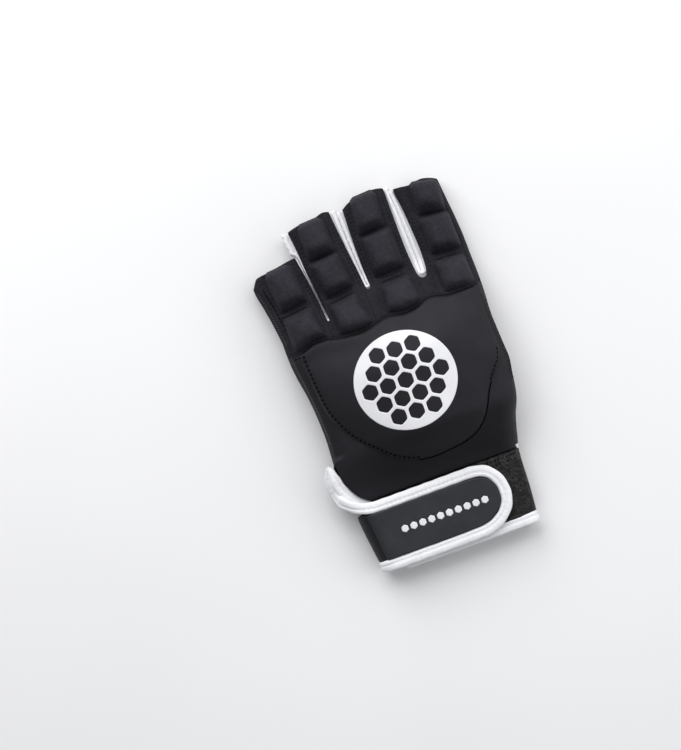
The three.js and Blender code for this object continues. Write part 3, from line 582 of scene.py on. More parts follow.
def closed_sheet(top, bottom, present=None, steps=4, puff=1.0):
    """Points and faces of a closed body between two grids, with rounded edges wherever its cells end."""
    rows, columns = top.shape[:2]
    if present is None:
        present = np.ones((rows - 1, columns - 1), bool)
    total = rows * columns
    number = np.arange(total).reshape(rows, columns)
    r, c = np.nonzero(present)
    cell = np.stack([number[r, c], number[r, c + 1], number[r + 1, c + 1], number[r + 1, c]], 1)
    edges = np.stack([cell.ravel(), np.roll(cell, -1, axis=1).ravel()], 1)
    code = edges[:, 0] * total + edges[:, 1]
    edges = edges[~np.isin(code, edges[:, 1] * total + edges[:, 0])]
    upper, lower = top.reshape(-1, 3), bottom.reshape(-1, 3)
    half, middle = (upper - lower) / 2, (upper + lower) / 2
    side = unit(np.cross(upper[edges[:, 1]] - upper[edges[:, 0]], half[edges[:, 0]]))
    out = np.zeros((total, 3))
    np.add.at(out, edges[:, 0], side)
    np.add.at(out, edges[:, 1], side)
    rim = np.unique(edges)
    out = unit(out[rim])
    size = np.linalg.norm(half[rim], axis=1, keepdims=True) * puff
    ladder = np.zeros((steps + 1, total), int)
    ladder[0] = np.arange(total)
    ladder[steps] = np.arange(total) + total
    points = [upper, lower]
    for k in range(1, steps):
        turn = math.pi * k / steps
        ladder[k, rim] = 2 * total + (k - 1) * len(rim) + np.arange(len(rim))
        points.append(middle[rim] + half[rim] * math.cos(turn) + out * size * math.sin(turn))
    a, b = edges[:, 0], edges[:, 1]
    walls = [
        np.stack([here[a], there[a], there[b], here[b]], 1) for here, there in zip(ladder[:-1], ladder[1:])
    ]
    return np.vstack(points), [cell, cell[:, ::-1] + total, np.vstack(walls)]


def layer(x, y, low, high, **shape):
    """A closed sheet between two heights over a grid of places."""
    return closed_sheet(np.dstack([x, y, high]), np.dstack([x, y, low]), **shape)


def disc_body(x, y, upper, lower, middle):
    """Points and faces of a closed body from rings about a middle. middle holds its upper and lower point."""
    top, bottom = np.dstack([x, y, upper]).reshape(-1, 3), np.dstack([x, y, lower]).reshape(-1, 3)
    total, count = x.size, x.shape[1]
    number = np.arange(total).reshape(x.shape)
    turned = np.roll(number, -1, axis=1)
    cell = np.stack([number[:-1], number[1:], turned[1:], turned[:-1]], -1).reshape(-1, 4)
    wall = np.stack([number[-1], number[-1] + total, turned[-1] + total, turned[-1]], -1)
    hub = np.stack([np.full(count, 2 * total), number[0], turned[0]], -1)
    under = np.stack([np.full(count, 2 * total + 1), turned[0] + total, number[0] + total], -1)
    return np.vstack([top, bottom, middle]), [cell, cell[:, ::-1] + total, wall, hub, under]


def normals_of(grid):
    across = np.gradient(grid, axis=1)
    along = np.gradient(grid, axis=0)
    return unit(np.cross(across, along))


def thick_sheet(grid, thickness, offset=0.0, relief=None):
    """Upper and lower grid about a middle surface. relief is added to the upper side."""
    n = normals_of(grid)
    relief = np.zeros(grid.shape[:2]) if relief is None else relief
    upper = grid + n * (offset + thickness / 2 + relief[..., None])
    lower = grid + n * (offset - thickness / 2)
    return upper, lower


def tube_faces(count, sides):
    """Faces of a closed tube: its points are rings, one after another, and then the middle of each end."""
    ring = np.arange(sides)
    turned = (ring + 1) % sides
    start = sides * np.arange(count - 1)[:, None]
    walls = np.stack([start + ring, start + turned, start + sides + turned, start + sides + ring], -1)
    last, hub = (count - 1) * sides, np.full(sides, count * sides)
    first = np.stack([turned, ring, hub], 1)
    second = np.stack([last + ring, last + turned, hub + 1], 1)
    return [walls.reshape(-1, 4), np.vstack([first, second])]


def sweep(path, looks, section):
    """Points and faces of a closed band along a path. section is (points, corners, 2): across, and out."""
    along = unit(np.gradient(path, axis=0))
    across = unit(np.cross(along, looks))
    out = np.cross(across, along)
    rings = path[:, None] + across[:, None] * section[..., :1] + out[:, None] * section[..., 1:]
    return np.vstack([rings.reshape(-1, 3), path[:1], path[-1:]]), tube_faces(*rings.shape[:2])


def add_piece(name, shape, slot, *materials, kinds=None, fill=None, stands_for_node=True):
    """A finished piece from its points and faces. kinds gives the material of each group of faces."""
    made = body(name, *shape, kinds)
    for material in materials:
        made.data.materials.append(material)
    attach(made, "root")
    if stands_for_node:
        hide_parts(name)


# Materials, in millimetres of the object's own frame
class Finish:
    """A principled material and short calls that add nodes to it."""

    def __init__(self, name, sockets):
        self.material = bpy.data.materials.new(name)
        self.material.use_nodes = True
        self.tree = self.material.node_tree
        self.tree.nodes.clear()
        self.shader = self.tree.nodes.new("ShaderNodeBsdfPrincipled")
        output = self.tree.nodes.new("ShaderNodeOutputMaterial")
        self.tree.links.new(self.shader.outputs[0], output.inputs[0])
        for key, value in sockets.items():
            self.shader.inputs[key].default_value = value
        coordinates = self.add("TexCoord", out="Object")
        self.mm = self.add("VectorMath", {0: coordinates, "Scale": 1 / MM}, operation="SCALE")

    def add(self, kind, inputs=(), out=0, **settings):
        made = self.tree.nodes.new("ShaderNode" + kind)
        for key, value in settings.items():
            setattr(made, key, value)
        for key, value in dict(inputs).items():
            if isinstance(value, bpy.types.NodeSocket):
                self.tree.links.new(value, made.inputs[key])
            else:
                made.inputs[key].default_value = value
        return made.outputs[out]

    def math(self, operation, a, b=0.0):
        return self.add("Math", {0: a, 1: b}, operation=operation)

    def across_and_along(self, angle):
        """The two ways of a cloth that is turned in its plane."""
        turned = self.add("VectorRotate", {"Vector": self.mm, "Angle": angle}, rotation_type="Z_AXIS")
        return self.add("SeparateXYZ", {0: turned}).node.outputs[:2]

    def noise(self, size, detail=2.0, vector=None, roughness=0.5):
        inputs = {"Vector": vector or self.mm, "Scale": 1 / size, "Detail": detail, "Roughness": roughness}
        return self.add("TexNoise", inputs)

    def triangle(self, value, period):
        wave = self.math("PINGPONG", value, period / 2)
        return self.math("MULTIPLY", wave, 2 / period)

    def knit(self, wale, course, angle=0.0, chevron=0.6):
        """Height of a knit face: columns of small slanted loops."""
        x, y = self.across_and_along(angle)
        column = self.triangle(x, wale)
        slant = self.math("MULTIPLY", column, course * chevron)
        row = self.triangle(self.math("ADD", y, slant), course)
        ridge = self.math("POWER", column, 0.5)
        return self.math("ADD", self.math("MULTIPLY", ridge, 0.6), self.math("MULTIPLY", row, 0.4))

    def weave(self, pitch, angle=0.0):
        """Height of a plain weave."""
        x, y = (self.triangle(side, pitch) for side in self.across_and_along(angle))
        return self.math("ABSOLUTE", self.math("SUBTRACT", x, y))

    def mixed(self, first, second, share):
        a = self.math("MULTIPLY", first, 1 - share)
        return self.math("ADD", a, self.math("MULTIPLY", second, share))

    def colour(self, value, stops):
        made = self.add("ValToRGB", {0: value}).node
        while len(made.color_ramp.elements) < len(stops):
            made.color_ramp.elements.new(0.5)
        for element, (position, shade) in zip(made.color_ramp.elements, stops):
            element.position = position
            element.color = (*shade, 1)
        self.tree.links.new(made.outputs[0], self.shader.inputs["Base Color"])

    def roughness(self, value, low, high):
        made = self.add("MapRange", {0: value, 3: low, 4: high})
        self.tree.links.new(made, self.shader.inputs["Roughness"])

    def bump(self, *heights):
        """Bumps in turn, each a height with its depth in millimetres."""
        normal = None
        for height, depth in heights:
            inputs = {"Height": height, "Distance": depth * MM, "Strength": 1.0}
            if normal is not None:
                inputs["Normal"] = normal
            normal = self.add("Bump", inputs)
        self.tree.links.new(normal, self.shader.inputs["Normal"])


def cloth_sockets(sheen, tint, specular=0.3, gloss_tint=(1, 1, 1)):
    return {
        "Specular IOR Level": specular,
        "Specular Tint": (*gloss_tint, 1),
        "Sheen Weight": sheen,
        "Sheen Roughness": 0.4,
        "Sheen Tint": (*tint, 1),
    }


# Tint of the sheen and gloss on the knit and the neoprene
COOL = (0.885, 0.87, 1.0)


def knit_finish(name, share):
    """Ribbed stretch knit. share scales its colour."""
    f = Finish(name, cloth_sockets(0.02, COOL, 0.06, COOL))
    rib = f.knit(1.15, 0.95)
    fuzz = f.noise(0.25, 3)
    mottle = f.noise(1.7, 3)
    patch = f.noise(6, 3)
    shades = [(0.2, 0.0045), (0.5, 0.0078), (0.8, 0.0132)]
    f.colour(f.mixed(f.mixed(rib, patch, 0.5), mottle, 0.4), [
        (place_on, tuple(shade * share * tint for tint in (1, 1, 1.22))) for place_on, shade in shades
    ])
    f.roughness(patch, 0.6, 0.76)
    f.bump((rib, 0.1), (mottle, 0.16), (fuzz, 0.03))
    return f.material


def neoprene_finish():
    f = Finish("neoprene_jersey", cloth_sockets(0.02, COOL, 0.4, COOL))
    face = f.knit(0.42, 0.36, 0.1)
    fuzz = f.noise(0.16, 3)
    patch = f.noise(14, 4)
    lint = f.noise(1.1, 1)
    f.colour(f.mixed(f.mixed(face, patch, 0.6), lint, 0.1), [
        (0.2, (0.0012, 0.0012, 0.0016)), (0.5, (0.0022, 0.0022, 0.0028)), (0.85, (0.0038, 0.0038, 0.0048)),
    ])
    f.roughness(patch, 0.5, 0.68)
    f.bump((face, 0.06), (fuzz, 0.03), (f.noise(9, 2), 0.25))
    return f.material


def lining_finish():
    f = Finish("lining_tricot", cloth_sockets(0.08, (0.8, 0.8, 0.85)))
    face = f.knit(0.7, 0.5, 0.3)
    f.colour(f.mixed(face, f.noise(7, 3), 0.5), [(0.2, (0.008, 0.008, 0.009)), (0.9, (0.02, 0.02, 0.022))])
    f.roughness(f.noise(5, 2), 0.7, 0.9)
    f.bump((face, 0.08))
    return f.material


def suede_finish():
    f = Finish("palm_suede", cloth_sockets(0.2, (0.75, 0.75, 0.8)))
    nap = f.noise(0.5, 5, roughness=0.65)
    patch = f.noise(9, 4)
    f.colour(f.mixed(nap, patch, 0.5), [
        (0.25, (0.008, 0.008, 0.009)), (0.5, (0.016, 0.016, 0.017)), (0.8, (0.03, 0.03, 0.031)),
    ])
    f.roughness(patch, 0.7, 0.92)
    f.bump((nap, 0.08), (f.noise(2.4, 3), 0.12))
    return f.material


def loop_finish():
    f = Finish("loop_fabric", cloth_sockets(0.25, (0.8, 0.8, 0.8)))
    fuzz = f.noise(1.4, 5, roughness=0.75)
    patch = f.noise(3.4, 3)
    f.colour(f.mixed(fuzz, patch, 0.35), [
        (0.36, (0.003, 0.003, 0.003)), (0.5, (0.02, 0.02, 0.0195)), (0.64, (0.075, 0.075, 0.072)),
    ])
    f.roughness(patch, 0.85, 0.98)
    f.bump((fuzz, 0.35))
    return f.material


def label_finish():
    f = Finish("strap_label", {"Specular IOR Level": 0.45})
    grain = f.noise(0.22, 3)
    patch = f.noise(16, 3)
    f.colour(f.mixed(grain, patch, 0.7), [
        (0.2, (0.012, 0.0142, 0.018)), (0.5, (0.016, 0.0185, 0.023)), (0.8, (0.0205, 0.0235, 0.0295)),
    ])
    f.roughness(f.mixed(grain, patch, 0.6), 0.38, 0.54)
    f.bump((f.weave(0.45, 0.785), 0.02), (grain, 0.02), (f.noise(11, 2), 0.15))
    return f.material


def white_cloth(name, roughness, loops, face_depth, patch_size, crease_size, crease_depth, shades):
    """Fine white knit. loops are its wale, course and so on, and roughness is that of its extreme patches."""
    f = Finish(name, cloth_sockets(0.15, (1, 1, 1)))
    face = f.knit(*loops)
    patch = f.noise(patch_size, 3)
    f.colour(f.mixed(face, patch, 0.5), shades)
    f.roughness(patch, *roughness)
    f.bump((face, face_depth), (f.noise(crease_size, 2), crease_depth))
    return f.material


def print_finish():
    f = Finish("white_print", {"Specular IOR Level": 0.4})
    grain = f.noise(0.35, 3)
    patch = f.noise(8, 3)
    f.colour(f.mixed(grain, patch, 0.6), [(0.2, (0.74, 0.74, 0.77)), (0.8, (0.81, 0.81, 0.83))])
    f.roughness(patch, 0.42, 0.58)
    f.bump((f.knit(0.42, 0.36, 0.1), 0.03), (grain, 0.02))
    return f.material


def thread_finish(name, low, high, roughness, specular):
    f = Finish(name, {"Roughness": roughness, "Specular IOR Level": specular})
    squeezed = f.add("VectorMath", {0: f.mm, 1: (1.0, 1.0, 3.0)}, operation="MULTIPLY")
    twist = f.noise(0.3, 2, squeezed)
    f.colour(twist, [(0.3, low), (0.7, high)])
    f.bump((twist, 0.06))
    return f.material


def floor_finish():
    f = Finish("paper_floor", {"Roughness": 0.8, "Specular IOR Level": 0.2})
    wide = f.noise(260, 2)
    f.colour(wide, [(0.3, (0.84, 0.84, 0.85)), (0.7, (0.88, 0.88, 0.885))])
    f.bump((f.noise(2, 3), 0.03))
    return f.material


KNIT = knit_finish("rib_knit", 3.3)
# The finger back's knit is the pads' knit made darker: painted shade on the flat knit between and around the
# pads
SHADED_FLAT_KNIT = knit_finish("rib_knit_flat_painted_shade", 2.4)
NEOPRENE = neoprene_finish()
LINING = lining_finish()
SUEDE = suede_finish()
LOOP = loop_finish()
LABEL = label_finish()
TAPE = white_cloth("white_tape", (0.55, 0.72), (0.5, 0.45, 0.0, 0.4), 0.06, 5, 1.8, 0.08, [
    (0.15, (0.75, 0.75, 0.78)), (0.5, (0.84, 0.84, 0.87)), (0.9, (0.89, 0.89, 0.91)),
])
GUSSET = white_cloth("white_stretch", (0.6, 0.78), (0.55, 0.5), 0.07, 4, 2.5, 0.2, [
    (0.15, (0.84, 0.84, 0.87)), (0.5, (0.91, 0.91, 0.94)), (0.9, (0.95, 0.95, 0.96)),
])
PRINT = print_finish()
# Darker than the black cloth and without gloss: the thread's own black, with painted shade of the holes that
# it sits in
BLACK_THREAD_AND_HOLE_SHADE = thread_finish("black_thread_and_hole_shade", (0.0004, 0.0004, 0.0005), (0.0015, 0.0015, 0.002), 0.9, 0.0)
KNIT_THREAD = thread_finish("knit_thread", (0.006, 0.006, 0.0072), (0.014, 0.014, 0.017), 0.7, 0.1)
GREY_THREAD = thread_finish("grey_thread", (0.05, 0.05, 0.055), (0.12, 0.12, 0.13), 0.5, 0.3)
WHITE_THREAD = thread_finish("white_thread", (0.7, 0.7, 0.73), (0.84, 0.84, 0.87), 0.5, 0.4)


# Pieces of the back
FINGER_STEPS = 42
CROTCH_STEPS = 8
BAND_ROWS = 22
FINGER_ROWS = 88


def column_base(f, across, turn):
    """Where a column of the sheet leaves the band below: on a finger, or turn of the way round a crotch."""
    if turn is None:
        y = float(finger_base(f, across))
        return float(lerp(FINGER_LEFT[f](y), FINGER_RIGHT[f](y), across)), y
    x0, y0 = column_base(f, 1.0, None)
    x1, y1 = column_base(f + 1, 0.0, None)
    share = (1 - math.cos(math.pi * turn)) / 2
    return lerp(x0, x1, share), lerp(y0, y1, share) - CROTCH_ROUND[f] * math.sin(math.pi * turn)


def finger_columns():
    columns = []
    for f in range(4):
        columns += [(f, across, None) for across in np.linspace(0, 1, FINGER_STEPS)]
        if f < 3:
            columns += [(f, 1.0, k / CROTCH_STEPS) for k in range(1, CROTCH_STEPS)]
    return columns


COLUMNS = finger_columns()
COLUMN_BASE = np.array([column_base(*column) for column in COLUMNS])
COLUMN_SHARE = (COLUMN_BASE[:, 0] - COLUMN_BASE[0, 0]) / (COLUMN_BASE[-1, 0] - COLUMN_BASE[0, 0])
IN_CROTCH = np.array([turn is not None for _, _, turn in COLUMNS])


def finger_rows(side):
    """x, y and lower surface of the rows along the fingers."""
    share = np.linspace(0, 1, FINGER_ROWS + 1)[1:, None]
    x = np.zeros((FINGER_ROWS, len(COLUMNS)))
    y = np.zeros_like(x)
    low = np.zeros_like(x)
    for f in range(4):
        here = np.array([column[0] == f and column[2] is None for column in COLUMNS])
        across = np.array([column[1] for column in COLUMNS])[here][None]
        base, tip = finger_base(f, across), finger_tip(f, across)
        y[:, here] = lerp(base, tip, share)
        x[:, here] = lerp(FINGER_LEFT[f](y[:, here]), FINGER_RIGHT[f](y[:, here]), across)
        low[:, here] = finger_levels(f, x[:, here], y[:, here], y[:, here] - base)[side]
    return x, y, low


def with_fingers(band, side, every):
    """A band's x, y and height with rows of the fingers above it, and its cells: none in the finger gaps."""
    grids = [np.vstack([low, up[every - 1::every]]) for low, up in zip(band, finger_rows(side))]
    cells = np.ones((len(grids[0]) - 1, len(COLUMNS) - 1), bool)
    cells[len(band[0]) - 1:, IN_CROTCH[:-1] | IN_CROTCH[1:]] = False
    return *grids, cells


def finger_back():
    share = np.linspace(0, 1, BAND_ROWS + 1)[:, None]
    seam_x = lerp(back_left(38.0), right_edge(38.0), COLUMN_SHARE)[None]
    seam_y = knuckle_y(seam_x) + GAP / 2
    x = lerp(seam_x, COLUMN_BASE[:, 0][None], share)
    y = lerp(seam_y, COLUMN_BASE[:, 1][None], share)
    low = hand_low(x, y)
    x, y, low, cells = with_fingers((x, y, low), 1, 1)
    shape = layer(x, y, low, low + KNIT_THICK + knit_detail(x, y), present=cells, puff=0.4)
    # The darker copy of the knit paints shade on the finger back between the pads
    add_piece("finger_back", shape, "knit", SHADED_FLAT_KNIT, LINING, kinds=[0, 1, 0])


def rounded_box(u, v, half_u, half_v, corner):
    """Distance inside the outline of a rounded rectangle, negative outside."""
    qu, qv = np.abs(u) - (half_u - corner), np.abs(v) - (half_v - corner)
    outside = np.hypot(np.maximum(qu, 0), np.maximum(qv, 0))
    return corner - outside - np.minimum(np.maximum(qu, qv), 0)


def evened(grid):
    """The mean of each inner point's four neighbours."""
    return (grid[2:, 1:-1] + grid[:-2, 1:-1] + grid[1:-1, 2:] + grid[1:-1, :-2]) / 4


DRAPE_PULL = 0.004
DRAPE_ROUNDS = 500


def drape(block, held):
    """Cloth held at zero on its rim and laid over a block: each round evens it out and draws it down."""
    cloth = np.where(held, 0.0, np.maximum(block, 0.0))
    for _ in range(DRAPE_ROUNDS):
        even = cloth.copy()
        even[1:-1, 1:-1] = evened(cloth)
        cloth = np.where(held, 0.0, np.maximum(even - DRAPE_PULL, block))
    return cloth


def pad_grid(half_x, half_y, columns, rows):
    """Places on a pad, from its middle."""
    u = np.linspace(-half_x, half_x, columns)[None]
    v = np.linspace(-half_y, half_y, rows)[:, None]
    return np.broadcast_arrays(u, v)


PAD_STEP = 0.32
# How deep a pad's edge and its underside lie in its seat
PAD_EDGE_DEPTH = 0.3
PAD_BASE_DEPTH = 0.8


def pad_place(name, u, v):
    """Where a point of a pad lies. u and v run from -1 to 1, across it and from its lower edge up."""
    x0, x1, y0, y1, _, flare, _ = PADS[name]
    lean, low_tilt, high_tilt = pad_slant(name)
    half_x, half_y = (x1 - x0) / 2, (y1 - y0) / 2
    up = (v + 1) / 2
    x = (x0 + x1) / 2 + u * (half_x + flare * (1 - up) ** 2) + lean * half_y * v
    high = y1 + high_tilt * half_x * u
    low = knuckle_y(x) + 0.5 if flare else y0 + low_tilt * half_x * u
    return x, lerp(low, high, up)


def pad_height(name, u, v):
    """Pillow height: arched across, steep at the fingertip end, and a long slope at the wrist end."""
    _, _, y0, y1, slope, flare, highest = PADS[name]
    length = y1 - y0
    from_tip = (1 - v) / 2 * length
    from_low = (1 + v) / 2 * length
    arch = (1 - np.clip(np.abs(u), 0, 1) ** 2.7) ** 0.5
    tip_end = roll(from_tip, 3.6)
    up = from_low / (slope * (LAST_SLOPE if flare else PAD_SLOPE) * (1 - 0.12 * u))
    crest = LAST_CREST if flare else PAD_CREST
    low_end = up / (1 + up ** crest) ** (1 / crest)
    crown = 1 - 0.12 * (v - highest) ** 2
    return PAD_RISE * arch * tip_end * low_end * crown


def finger_pad(name):
    """A foam block under knit that is sewn down all round."""
    x0, x1, y0, y1, *_ = PADS[name]
    half_x, half_y = (x1 - x0) / 2, (y1 - y0) / 2
    u, v = pad_grid(half_x, half_y, int(2 * half_x / PAD_STEP), int(2 * half_y / PAD_STEP))
    x, y = pad_place(name, u / half_x, v / half_y)
    cloth = pad_height(name, u / half_x, v / half_y)
    tip_corner = 4.4 if name.endswith("_1") else 2.8
    rim = rounded_box(u, v, half_x, half_y, lerp(1.7, tip_corner, ramp(v / half_y, -0.3, 0.7)))
    cloth = cloth * roll(rim, 1.9) * (1 + 0.02 * small_waves(x * 1.1, y * 1.1))
    pucker = np.cos(math.tau * (u + v) / 2.3) * np.exp(-np.maximum(rim, 0) / 1.2)
    cloth = cloth * (1 - 0.1 * pucker) + 0.06 * small_waves(x * 3, y * 3) * ramp(rim, 0, 2)
    seat = back_top(x, y)
    middle = (rim[1:, 1:] + rim[:-1, 1:] + rim[1:, :-1] + rim[:-1, :-1]) / 4
    top = seat - PAD_EDGE_DEPTH + np.maximum(cloth, 0)
    shape = layer(x, y, seat - PAD_BASE_DEPTH, top, present=middle > -0.2, steps=2)
    add_piece(name, shape, "knit", KNIT, fill=0.9)


def hand_back():
    rows = np.linspace(0, 1, 96)[:, None]
    share = np.linspace(0, 1, 130)[None]
    seam_x = lerp(back_left(37.0), right_edge(37.0), share)
    seam_y = knuckle_y(seam_x) - GAP / 2
    y = lerp(CUFF_TOP + GAP, seam_y, rows)
    x = lerp(back_left(y), right_edge(y), share)
    low = hand_low(x, y)
    shape = layer(x, y, low, low + BACK_THICK + back_detail(x, y), puff=0.4)
    add_piece("hand_back", shape, "neoprene", NEOPRENE, LINING, kinds=[0, 1, 0])


# Rows of stitches on the panel, from its upper edge
CUFF_SEAMS = (-2.2, -4.7)


def cuff_detail(x, y):
    rise = 0.3 * soft_waves(x, y) + seam_dip(y - CUFF_TOP, 1.2, 0.5)
    for offset in CUFF_SEAMS:
        rise = rise + seam_dip(y - CUFF_TOP - offset, 0.8, 0.25) * ramp(x, 6, 9)
    return rise


def cuff_loop_panel():
    y = np.linspace(CUFF_MOUTH, CUFF_TOP, 44)[:, None]
    share = np.linspace(0, 1, 96)[None]
    x = lerp(back_left(y), right_edge(y), share)
    y = np.broadcast_to(y, x.shape)
    low = hand_low(x, y)
    shape = layer(x, y, low, low + LOOP_THICK + cuff_detail(x, y), puff=0.5)
    add_piece("cuff_loop_panel", shape, "loop_fabric", LOOP, LINING, kinds=[0, 1, 0])


SHIELD_LINE = spaced(spline(SHIELD_OUTLINE, 8), 0.9)
TOP_RUN = np.linspace(SHIELD_LINE[-1, 0], SHIELD_LINE[0, 0], 100)[1:-1]
SHIELD_LOOP = np.vstack([SHIELD_LINE, np.stack([TOP_RUN, knuckle_y(TOP_RUN) - 0.9], 1)])
SHIELD_STEP = 1.0
DOME_ROUNDS = 2500
DOME_PUSH = 0.01


def inside_outline(x, y, loop):
    """Whether places lie inside a closed outline."""
    inside = np.zeros(x.shape, bool)
    for (ax, ay), (bx, by) in zip(loop, np.roll(loop, -1, axis=0)):
        crosses = (ay > y) != (by > y)
        rise = by - ay if by != ay else 1e-9
        inside ^= crosses & (x < ax + (y - ay) * (bx - ax) / rise)
    return inside


def relaxed_dome():
    """A soap-film dome over the shield's outline, from 0 at the edge to 1, on a square grid."""
    xs = np.arange(-64, 44, SHIELD_STEP)
    ys = np.arange(-42, 44, SHIELD_STEP)
    x, y = np.meshgrid(xs, ys)
    inside = inside_outline(x, y, SHIELD_LOOP[::2])
    dome = np.zeros(x.shape)
    for _ in range(DOME_ROUNDS):
        dome[1:-1, 1:-1] = evened(dome) + DOME_PUSH
        dome[~inside] = 0
    return xs, ys, dome / dome.max()


SHIELD_XS, SHIELD_YS, SHIELD_DOME = relaxed_dome()


def grid_value(xs, ys, grid, x, y):
    """Smooth look-up in a square grid, with eased steps between its points."""
    fx = np.clip((x - xs[0]) / (xs[1] - xs[0]), 0, len(xs) - 1.001)
    fy = np.clip((y - ys[0]) / (ys[1] - ys[0]), 0, len(ys) - 1.001)
    ix, iy = fx.astype(int), fy.astype(int)
    tx, ty = fx - ix, fy - iy
    low = lerp(grid[iy, ix], grid[iy, ix + 1], tx)
    high = lerp(grid[iy + 1, ix], grid[iy + 1, ix + 1], tx)
    return lerp(low, high, ty)


def shield_top(x, y, reach=None):
    """Upper surface of the shield cover. reach is the distance to its edge, where that is known."""
    x, y = np.broadcast_arrays(np.asarray(x, float), np.asarray(y, float))
    dome = grid_value(SHIELD_XS, SHIELD_YS, SHIELD_DOME, x, y)
    edge = SHIELD_EDGE * (1 - 0.85 * ramp(x, 26, 33) * ramp(y, 4, 12))
    if reach is not None:
        edge = edge * roll(reach, 1.2)
    below = knuckle_y(x) - y
    steep = lerp(0.75, 1.7, ramp(below, 2, 34))
    rise = SHIELD_RISE * (1 - (1 - np.clip(dome, 0, 1)) ** steep) * lerp(0.4, 1, ramp(below, 0, 24))
    ridge = SEAM_RIDGE * np.exp(-((below - 1) / 5) ** 2)
    return back_low(x, y) + BACK_THICK + 0.1 + edge + rise + ridge + 0.25 * soft_waves(x, y)


def shield_cover():
    rings = np.concatenate([np.linspace(0.02, 0.86, 34), np.linspace(0.875, 1, 16)])[:, None]
    loop = SHIELD_LOOP - np.array(SHIELD_MIDDLE)
    x = SHIELD_MIDDLE[0] + rings * loop[:, 0][None]
    y = SHIELD_MIDDLE[1] + rings * loop[:, 1][None]
    size = np.hypot(loop[:, 0], loop[:, 1])[None]
    upper = shield_top(x, y, (1 - rings) * size)
    lower = back_low(x, y) + BACK_THICK - 0.35
    middle = [[*SHIELD_MIDDLE, shield_top(*SHIELD_MIDDLE)], [*SHIELD_MIDDLE, lower[0].mean()]]
    shape = disc_body(x, y, upper, lower, middle)
    add_piece("shield_cover", shape, "neoprene", NEOPRENE, LINING, kinds=[0, 1, 0, 0, 1], fill=0.8)


# Pieces between the fingers
# How far a gusset is tucked in at its seams, how far it bulges past the shorter finger, and how its folded
# back edge is lifted
TUCK = 1.3
FREE_BULGE = 4
GUSSET_LIFT = 1.5
GUSSET_PROFILE = 25
# For each gusset: the gap left between its sides, how creased it is, and how square its profile is
GUSSET_CLEAR = [0.25, 0.12, -0.02]
GUSSET_CREASE = [0.3, 0.08, 0.0]
GUSSET_SQUARE = [(0.55, 0.75), (0.55, 0.75), (0.45, 0.62)]


def gusset_path(f):
    """Places down the side of finger f, round the crotch and up the side of the next finger."""
    left, right = FINGER_RIGHT[f], FINGER_LEFT[f + 1]
    crotch = ENDS[f]["base"][-1]
    tops = ENDS[f]["tip"][-1] - 0.4, ENDS[f + 1]["tip"][0] - 0.4
    foot = crotch + 1.2

    def gap_at(y):
        return right(y) - left(y)

    def leg(line, finger, out, y):
        bulge = np.maximum((gap_at(y) - GUSSET_CLEAR[f] - GUSSET_THICK) / 2, 0)
        free = ramp(y, min(tops) + 0.5, min(tops) + 4)
        return (line(y), y, out, 0.0, lerp(bulge, FREE_BULGE, free), finger)

    radius = max(gap_at(crotch + 1.5) / 2, 1.1)
    path = [leg(left, f, 1.0, y) for y in np.linspace(tops[0], foot + radius, 70)[:-1]]
    middle = (left(foot) + right(foot)) / 2
    half = gap_at(foot + radius) / 2
    bulge = max(half - GUSSET_THICK / 2 - 0.1, 0.1)
    for angle in np.radians(np.linspace(0, 180, 25)):
        x, y = middle - half * math.cos(angle), foot + radius - radius * math.sin(angle)
        path.append((x, y, math.cos(angle), math.sin(angle), bulge, f if angle < math.pi / 2 else f + 1))
    path += [leg(right, f + 1, -1.0, y) for y in np.linspace(foot + radius, tops[1], 70)[1:]]
    return path, foot


def gusset(name, f):
    """A white stretch strip sewn in between two fingers; its sides bulge into the gap and meet in a fold."""
    path, foot = gusset_path(f)
    turn = np.linspace(0, math.pi, GUSSET_PROFILE)
    grid = np.zeros((len(path), GUSSET_PROFILE, 3))
    for i, (x, y, out_x, out_y, bulge, finger) in enumerate(path):
        edge = FINGER_RIGHT[f](y) - 0.02 if finger == f else FINGER_LEFT[f + 1](y) + 0.02
        base = finger_base(finger, 1.0 if finger == f else 0.0)
        palm, back = finger_levels(finger, edge, y, y - base)
        slack = lerp(0.9, 0.2, ramp(y, foot, foot + 12))
        up_gap = ramp(y, foot, foot + 10)
        reach = np.sin(turn) ** lerp(0.22, GUSSET_SQUARE[f][0], up_gap)
        square = lerp(0.3, GUSSET_SQUARE[f][1], up_gap)
        level = 0.5 + 0.5 * np.sign(np.cos(turn)) * np.abs(np.cos(turn)) ** square
        bottom = palm + PALM_THICK + GAP + GUSSET_THICK / 2 + 0.2
        top = back - GAP - GUSSET_THICK / 2 - slack * 0.6
        crease = 0.12 * math.sin(y * 1.9 + f) + 0.1 * math.sin(y * 0.83 + 2 * f)
        out = -TUCK + (max(bulge, 0) * (1 + crease * GUSSET_CREASE[f]) + TUCK) * reach
        crest = top + GUSSET_LIFT * ramp(reach, 0.45, 0.85)
        grid[i] = np.stack([x + out_x * out, y + out_y * out, lerp(bottom, crest, level)], 1)
    add_piece(name, closed_sheet(*thick_sheet(grid, GUSSET_THICK)), "white_fabric", GUSSET)


# Pieces of the wrist
# Spacing of the sections of the tapes and the strap, and of the label's
TAPE_STEP = 0.5
LABEL_STEP = 0.45
TAPE_WIDTH = 6
TAPE_SEAM = -0.2
TAPE_SIDES = 40
CHANNEL_DEPTH = 0.62
TAPE_THICK = 3.2
FLAT_TAPE_THICK = 2.6
SLIT_TAPE_WIDTH = 6.0
CUFF_TAPE_LAP = 1.2


def strap_grid(first, columns, step):
    """The strap's middle surface: rows round it, from its lower edge to its upper edge."""
    fine = spaced(spline(rows_of(STRAP)[first:], 12)[:, [0, 1, 4, 2, 3]], step)
    t = np.linspace(1, 0, columns)[None, :, None]
    low, high = fine[:, None, [0, 1, 2]], fine[:, None, [3, 4, 2]]
    return lerp(low, high, t)


def strap_thickness(shape):
    """Slight pillows of a sewn strap: thinner at its long edges."""
    t = np.linspace(0, 1, shape[1])[None]
    return 0.25 * np.sin(math.pi * t) ** 0.5 * np.ones(shape[:2])


